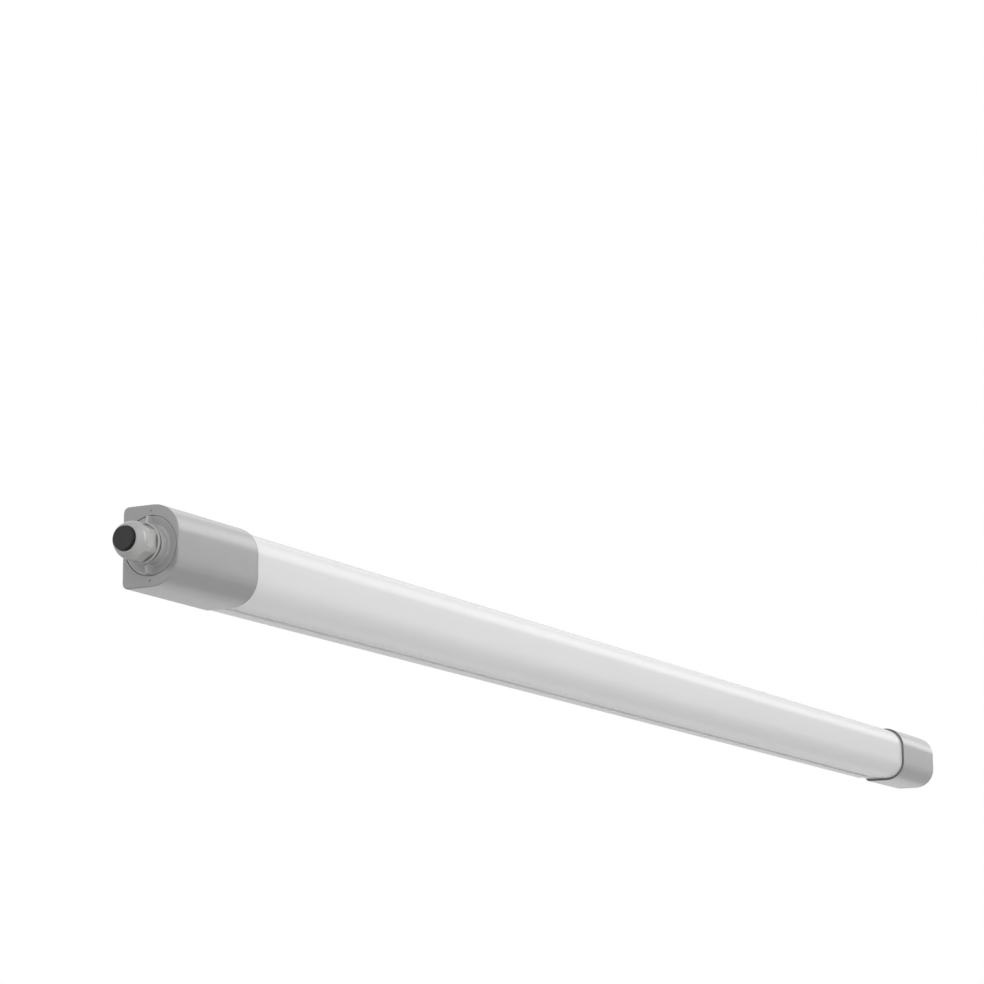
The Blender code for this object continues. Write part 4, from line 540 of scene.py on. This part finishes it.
def dressed_disc():
    """The twist-lock disc: dish, grip bar and boss in one moulded face, skirt and lugs behind it."""
    boss_rim = BOSS_RADIUS - BOSS_EDGE
    face = [(BOSS_TOP, BOSS_BORE), (BOSS_TOP, BOSS_LAND), (BOSS_TOP, boss_rim)]
    face += fillet((BOSS_TOP - BOSS_EDGE, boss_rim), BOSS_EDGE, 0, 90, 6)
    face += BOSS_SIDE
    face += curve(BOSS_SIDE[-1], *DISH)
    face.append(RIM_START)
    face += fillet((RIM_TOP - RIM_EDGE, RIM_RADIUS - RIM_EDGE), RIM_EDGE, 0, 90, 4)
    behind = [(FLANGE_BACK, RIM_RADIUS), (FLANGE_BACK, SKIRT_RADIUS), (SEAL_FRONT, SKIRT_RADIUS),
              (SEAL_FRONT, SEAL_GROOVE), (SEAL_BACK, SEAL_GROOVE), (SEAL_BACK, SKIRT_RADIUS),
              (SKIRT_END, SKIRT_RADIUS), (SKIRT_END, SKIRT_BORE),
              (WEB_BACK, SKIRT_BORE), (WEB_BACK, BOSS_BORE)]
    rings = [barred_ring(height, radius) if radius < BAR_REACH else disc_ring(height, radius)
             for height, radius in face]
    rings += [disc_ring(height, radius) for height, radius in behind]
    return skinned("disc_dressed", rings, [lug_shell(index) for index in range(LUG_COUNT)])


stand_in(dressed_nut(), "gland_nut", "gland_nut", "gland")
stand_in(dressed_plug(), "blanking_plug", "blanking_plug", "plug")
stand_in(dressed_disc(), "connection_disc", "connection_disc", "disc")


# Studio, in metres
WORLD_BELOW = 0.34
WORLD_ABOVE = 0.46
FLOOR_SIZE = 60
FLOOR_DROP = 1.75
FLOOR_DARK = grey(0.63)
FLOOR_LIGHT = grey(0.655)
FLOOR_GLOW = 0.88


def white_background():
    """A plain pale world: white where it is seen, brighter above than below where it lights."""
    world = bpy.data.worlds.new("studio")
    bpy.context.scene.world = world
    world.use_nodes = True
    tree = world.node_tree
    tree.nodes.clear()
    output = tree.nodes.new("ShaderNodeOutputWorld")
    seen = tree.nodes.new("ShaderNodeBackground")
    light = tree.nodes.new("ShaderNodeBackground")
    mix = tree.nodes.new("ShaderNodeMixShader")
    path = tree.nodes.new("ShaderNodeLightPath")
    seen.inputs["Color"].default_value = (1, 1, 1, 1)
    seen.inputs["Strength"].default_value = 1
    place = tree.nodes.new("ShaderNodeTexCoord")
    split = tree.nodes.new("ShaderNodeSeparateXYZ")
    ramp = tree.nodes.new("ShaderNodeMapRange")
    ramp.inputs["From Min"].default_value = -1
    ramp.inputs["From Max"].default_value = 1
    ramp.inputs["To Min"].default_value = WORLD_BELOW
    ramp.inputs["To Max"].default_value = WORLD_ABOVE
    tree.links.new(place.outputs["Generated"], split.inputs["Vector"])
    tree.links.new(split.outputs["Z"], ramp.inputs["Value"])
    tree.links.new(ramp.outputs["Result"], light.inputs["Strength"])
    sharp = maximum(tree, path.outputs["Is Glossy Ray"], path.outputs["Is Transmission Ray"])
    white = maximum(tree, path.outputs["Is Camera Ray"], sharp)
    tree.links.new(white, mix.inputs["Fac"])
    tree.links.new(light.outputs["Background"], mix.inputs[1])
    tree.links.new(seen.outputs["Background"], mix.inputs[2])
    tree.links.new(mix.outputs["Shader"], output.inputs["Surface"])


def floor():
    """A plain pale floor, far below the hung light; the photograph's own view looks up, past it."""
    corners = [(-FLOOR_SIZE, -FLOOR_SIZE), (FLOOR_SIZE, -FLOOR_SIZE), (FLOOR_SIZE, FLOOR_SIZE),
               (-FLOOR_SIZE, FLOOR_SIZE)]
    mesh = bpy.data.meshes.new("floor")
    mesh.from_pydata([(x, y, -FLOOR_DROP) for x, y in corners], [], [(0, 1, 2, 3)])
    item = bpy.data.objects.new("floor", mesh)
    bpy.context.scene.collection.objects.link(item)
    made, tree, shader = new_material("pale_floor")
    shader.inputs["Roughness"].default_value = 0.9
    shader.inputs["Specular IOR Level"].default_value = 0.1
    soft = noise(tree, coordinates(tree), scale=0.8, detail=3)
    tree.links.new(tinted(tree, soft, FLOOR_DARK, FLOOR_LIGHT), shader.inputs["Base Color"])
    glow = tree.nodes.new("ShaderNodeEmission")
    path = tree.nodes.new("ShaderNodeLightPath")
    share = tree.nodes.new("ShaderNodeMath")
    share.operation = "MULTIPLY"
    share.inputs[1].default_value = FLOOR_GLOW
    mix = tree.nodes.new("ShaderNodeMixShader")
    seen = maximum(tree, path.outputs["Is Camera Ray"], path.outputs["Is Glossy Ray"])
    tree.links.new(seen, share.inputs[0])
    tree.links.new(share.outputs["Value"], mix.inputs["Fac"])
    tree.links.new(shader.outputs["BSDF"], mix.inputs[1])
    tree.links.new(glow.outputs["Emission"], mix.inputs[2])
    tree.links.new(mix.outputs["Shader"], tree.nodes["Material Output"].inputs["Surface"])
    mesh.materials.append(made)


# Soft boxes: place, aim, width, height, strength
SOFT_BOXES = {
    "front_box": ((-0.4, -2.8, -0.4), (-0.2, 0, 0), 3.0, 2.0, 2.25),
    "end_box": ((-3.1, -0.5, 0.9), (-0.735, 0, 0), 4.0, 3.6, 1.1),
    "top_box": ((-0.5, -0.6, 2.4), (-0.4, 0, 0), 2.4, 1.2, 1.3),
    "back_box": ((1.9, 2.4, 0.4), (0.2, 0, 0), 3.0, 2.0, 1.3),
}

# Cards along the light: degrees above the front where each begins and ends, strength, its share far off.
# Each is made of three runs along X
LONG_CARDS = ((-150, -136, 0.2, 0.6), (-136, -95, 0.4, 0.6), (-27, -4, 0.7, 0.4), (-4, 22, 0.95, 0.5),
              (22, 34, 1.5, 0.5), (34, 60, 2.8, 0.68), (60, 76, 2.1, 0.55), (76, 90, 1.0, 0.45),
              (90, 122, 0.65, 0.45), (122, 134, 0.2, 0.45))
CARD_RUNS = ((0.8, 2.4), (2.4, 3.6), (3.6, 6.0))
CARD_DISTANCE = 1.6
MIDDLE_SHARE = 0.88

# Cards round the feed end: direction from it, width, height, strength
END_CARDS = {
    "end_card": ((-0.85, 0.4, 0.3), 3.4, 2.8, 1.3),
    "wall_card": ((-0.4, 0.88, 0.18), 1.2, 1.4, 1.5),
    "dome_card": ((0.31, -0.86, 0.38), 0.3, 1.4, 11.0),
}
END_CARD_DISTANCE = 1.8


def soft_lamp(name, place, aim, width, height, strength):
    """A rectangular soft box that lights; its strength is the brightness of its face."""
    light = bpy.data.lights.new(name, "AREA")
    light.shape = "RECTANGLE"
    light.size = width
    light.size_y = height
    light.energy = strength * width * height * math.pi
    item = bpy.data.objects.new(name, light)
    item.location = place
    item.rotation_euler = (Vector(aim) - Vector(place)).to_track_quat("-Z", "Y").to_euler()
    item.visible_camera = False
    item.visible_glossy = False
    bpy.context.scene.collection.objects.link(item)
    return item


def gloss_only(item):
    """Turn a soft box into a card that shows in gloss only."""
    item.visible_glossy = True
    item.visible_diffuse = False


def long_card(name, low, high, strength, start, end):
    """A card along the light, between two angles above the front."""
    turn = math.radians((low + high) / 2)
    height = 2 * CARD_DISTANCE * math.tan(math.radians(high - low) / 2)
    middle = (start + end) / 2
    place = (middle, -CARD_DISTANCE * math.cos(turn), CARD_DISTANCE * math.sin(turn))
    item = soft_lamp(name, place, (middle, 0, 0), end - start, height, strength)
    axis = Vector((0, math.cos(turn), -math.sin(turn)))
    side = Vector((1, 0, 0))
    item.rotation_euler = Matrix((side, -axis.cross(side), -axis)).transposed().to_euler()
    gloss_only(item)


def end_card(name, direction, width, height, strength):
    """A card that stands in one direction from the feed end."""
    centre = Vector((END_X, AXIS_Y, 0))
    place = centre + Vector(direction).normalized() * END_CARD_DISTANCE
    gloss_only(soft_lamp(name, place, centre, width, height, strength))


# The photograph's view, fitted to it: axes, place in metres, lens in millimetres, centre in pixels
IMAGE_SIZE = 984
VIEW_RIGHT = Vector((0.46352, -0.88607, -0.00635))
VIEW_DOWN = Vector((0.17635, 0.09927, -0.97931))
VIEW_FORWARD = Vector((0.86836, 0.45281, 0.20227))
VIEW_PLACE = Vector((-2.2565, -1.0636, -0.3463))
VIEW_LENS = 105.43
VIEW_SENSOR = 36
VIEW_CENTRE = (491.08, 495.10)


def camera():
    """The photograph's own view: below the light, near its feed end."""
    data = bpy.data.cameras.new("camera")
    data.sensor_width = VIEW_SENSOR
    data.lens = VIEW_LENS
    data.shift_x = (IMAGE_SIZE / 2 - VIEW_CENTRE[0]) / IMAGE_SIZE
    data.shift_y = (VIEW_CENTRE[1] - IMAGE_SIZE / 2) / IMAGE_SIZE
    item = bpy.data.objects.new("camera", data)
    turn = Matrix((VIEW_RIGHT, -VIEW_DOWN, -VIEW_FORWARD)).transposed().to_4x4()
    item.matrix_world = Matrix.Translation(VIEW_PLACE) @ turn
    bpy.context.scene.collection.objects.link(item)
    bpy.context.scene.camera = item


white_background()
floor()
for name, box in SOFT_BOXES.items():
    soft_lamp(name, *box)
for index, (low, high, strength, far_share) in enumerate(LONG_CARDS):
    for run, share in enumerate((1.0, MIDDLE_SHARE, far_share)):
        long_card(f"card_{index + 1}_{run + 1}", low, high, strength * share, *CARD_RUNS[run])
for name, card in END_CARDS.items():
    end_card(name, *card)
camera()
bpy.context.scene.view_settings.view_transform = "Standard"
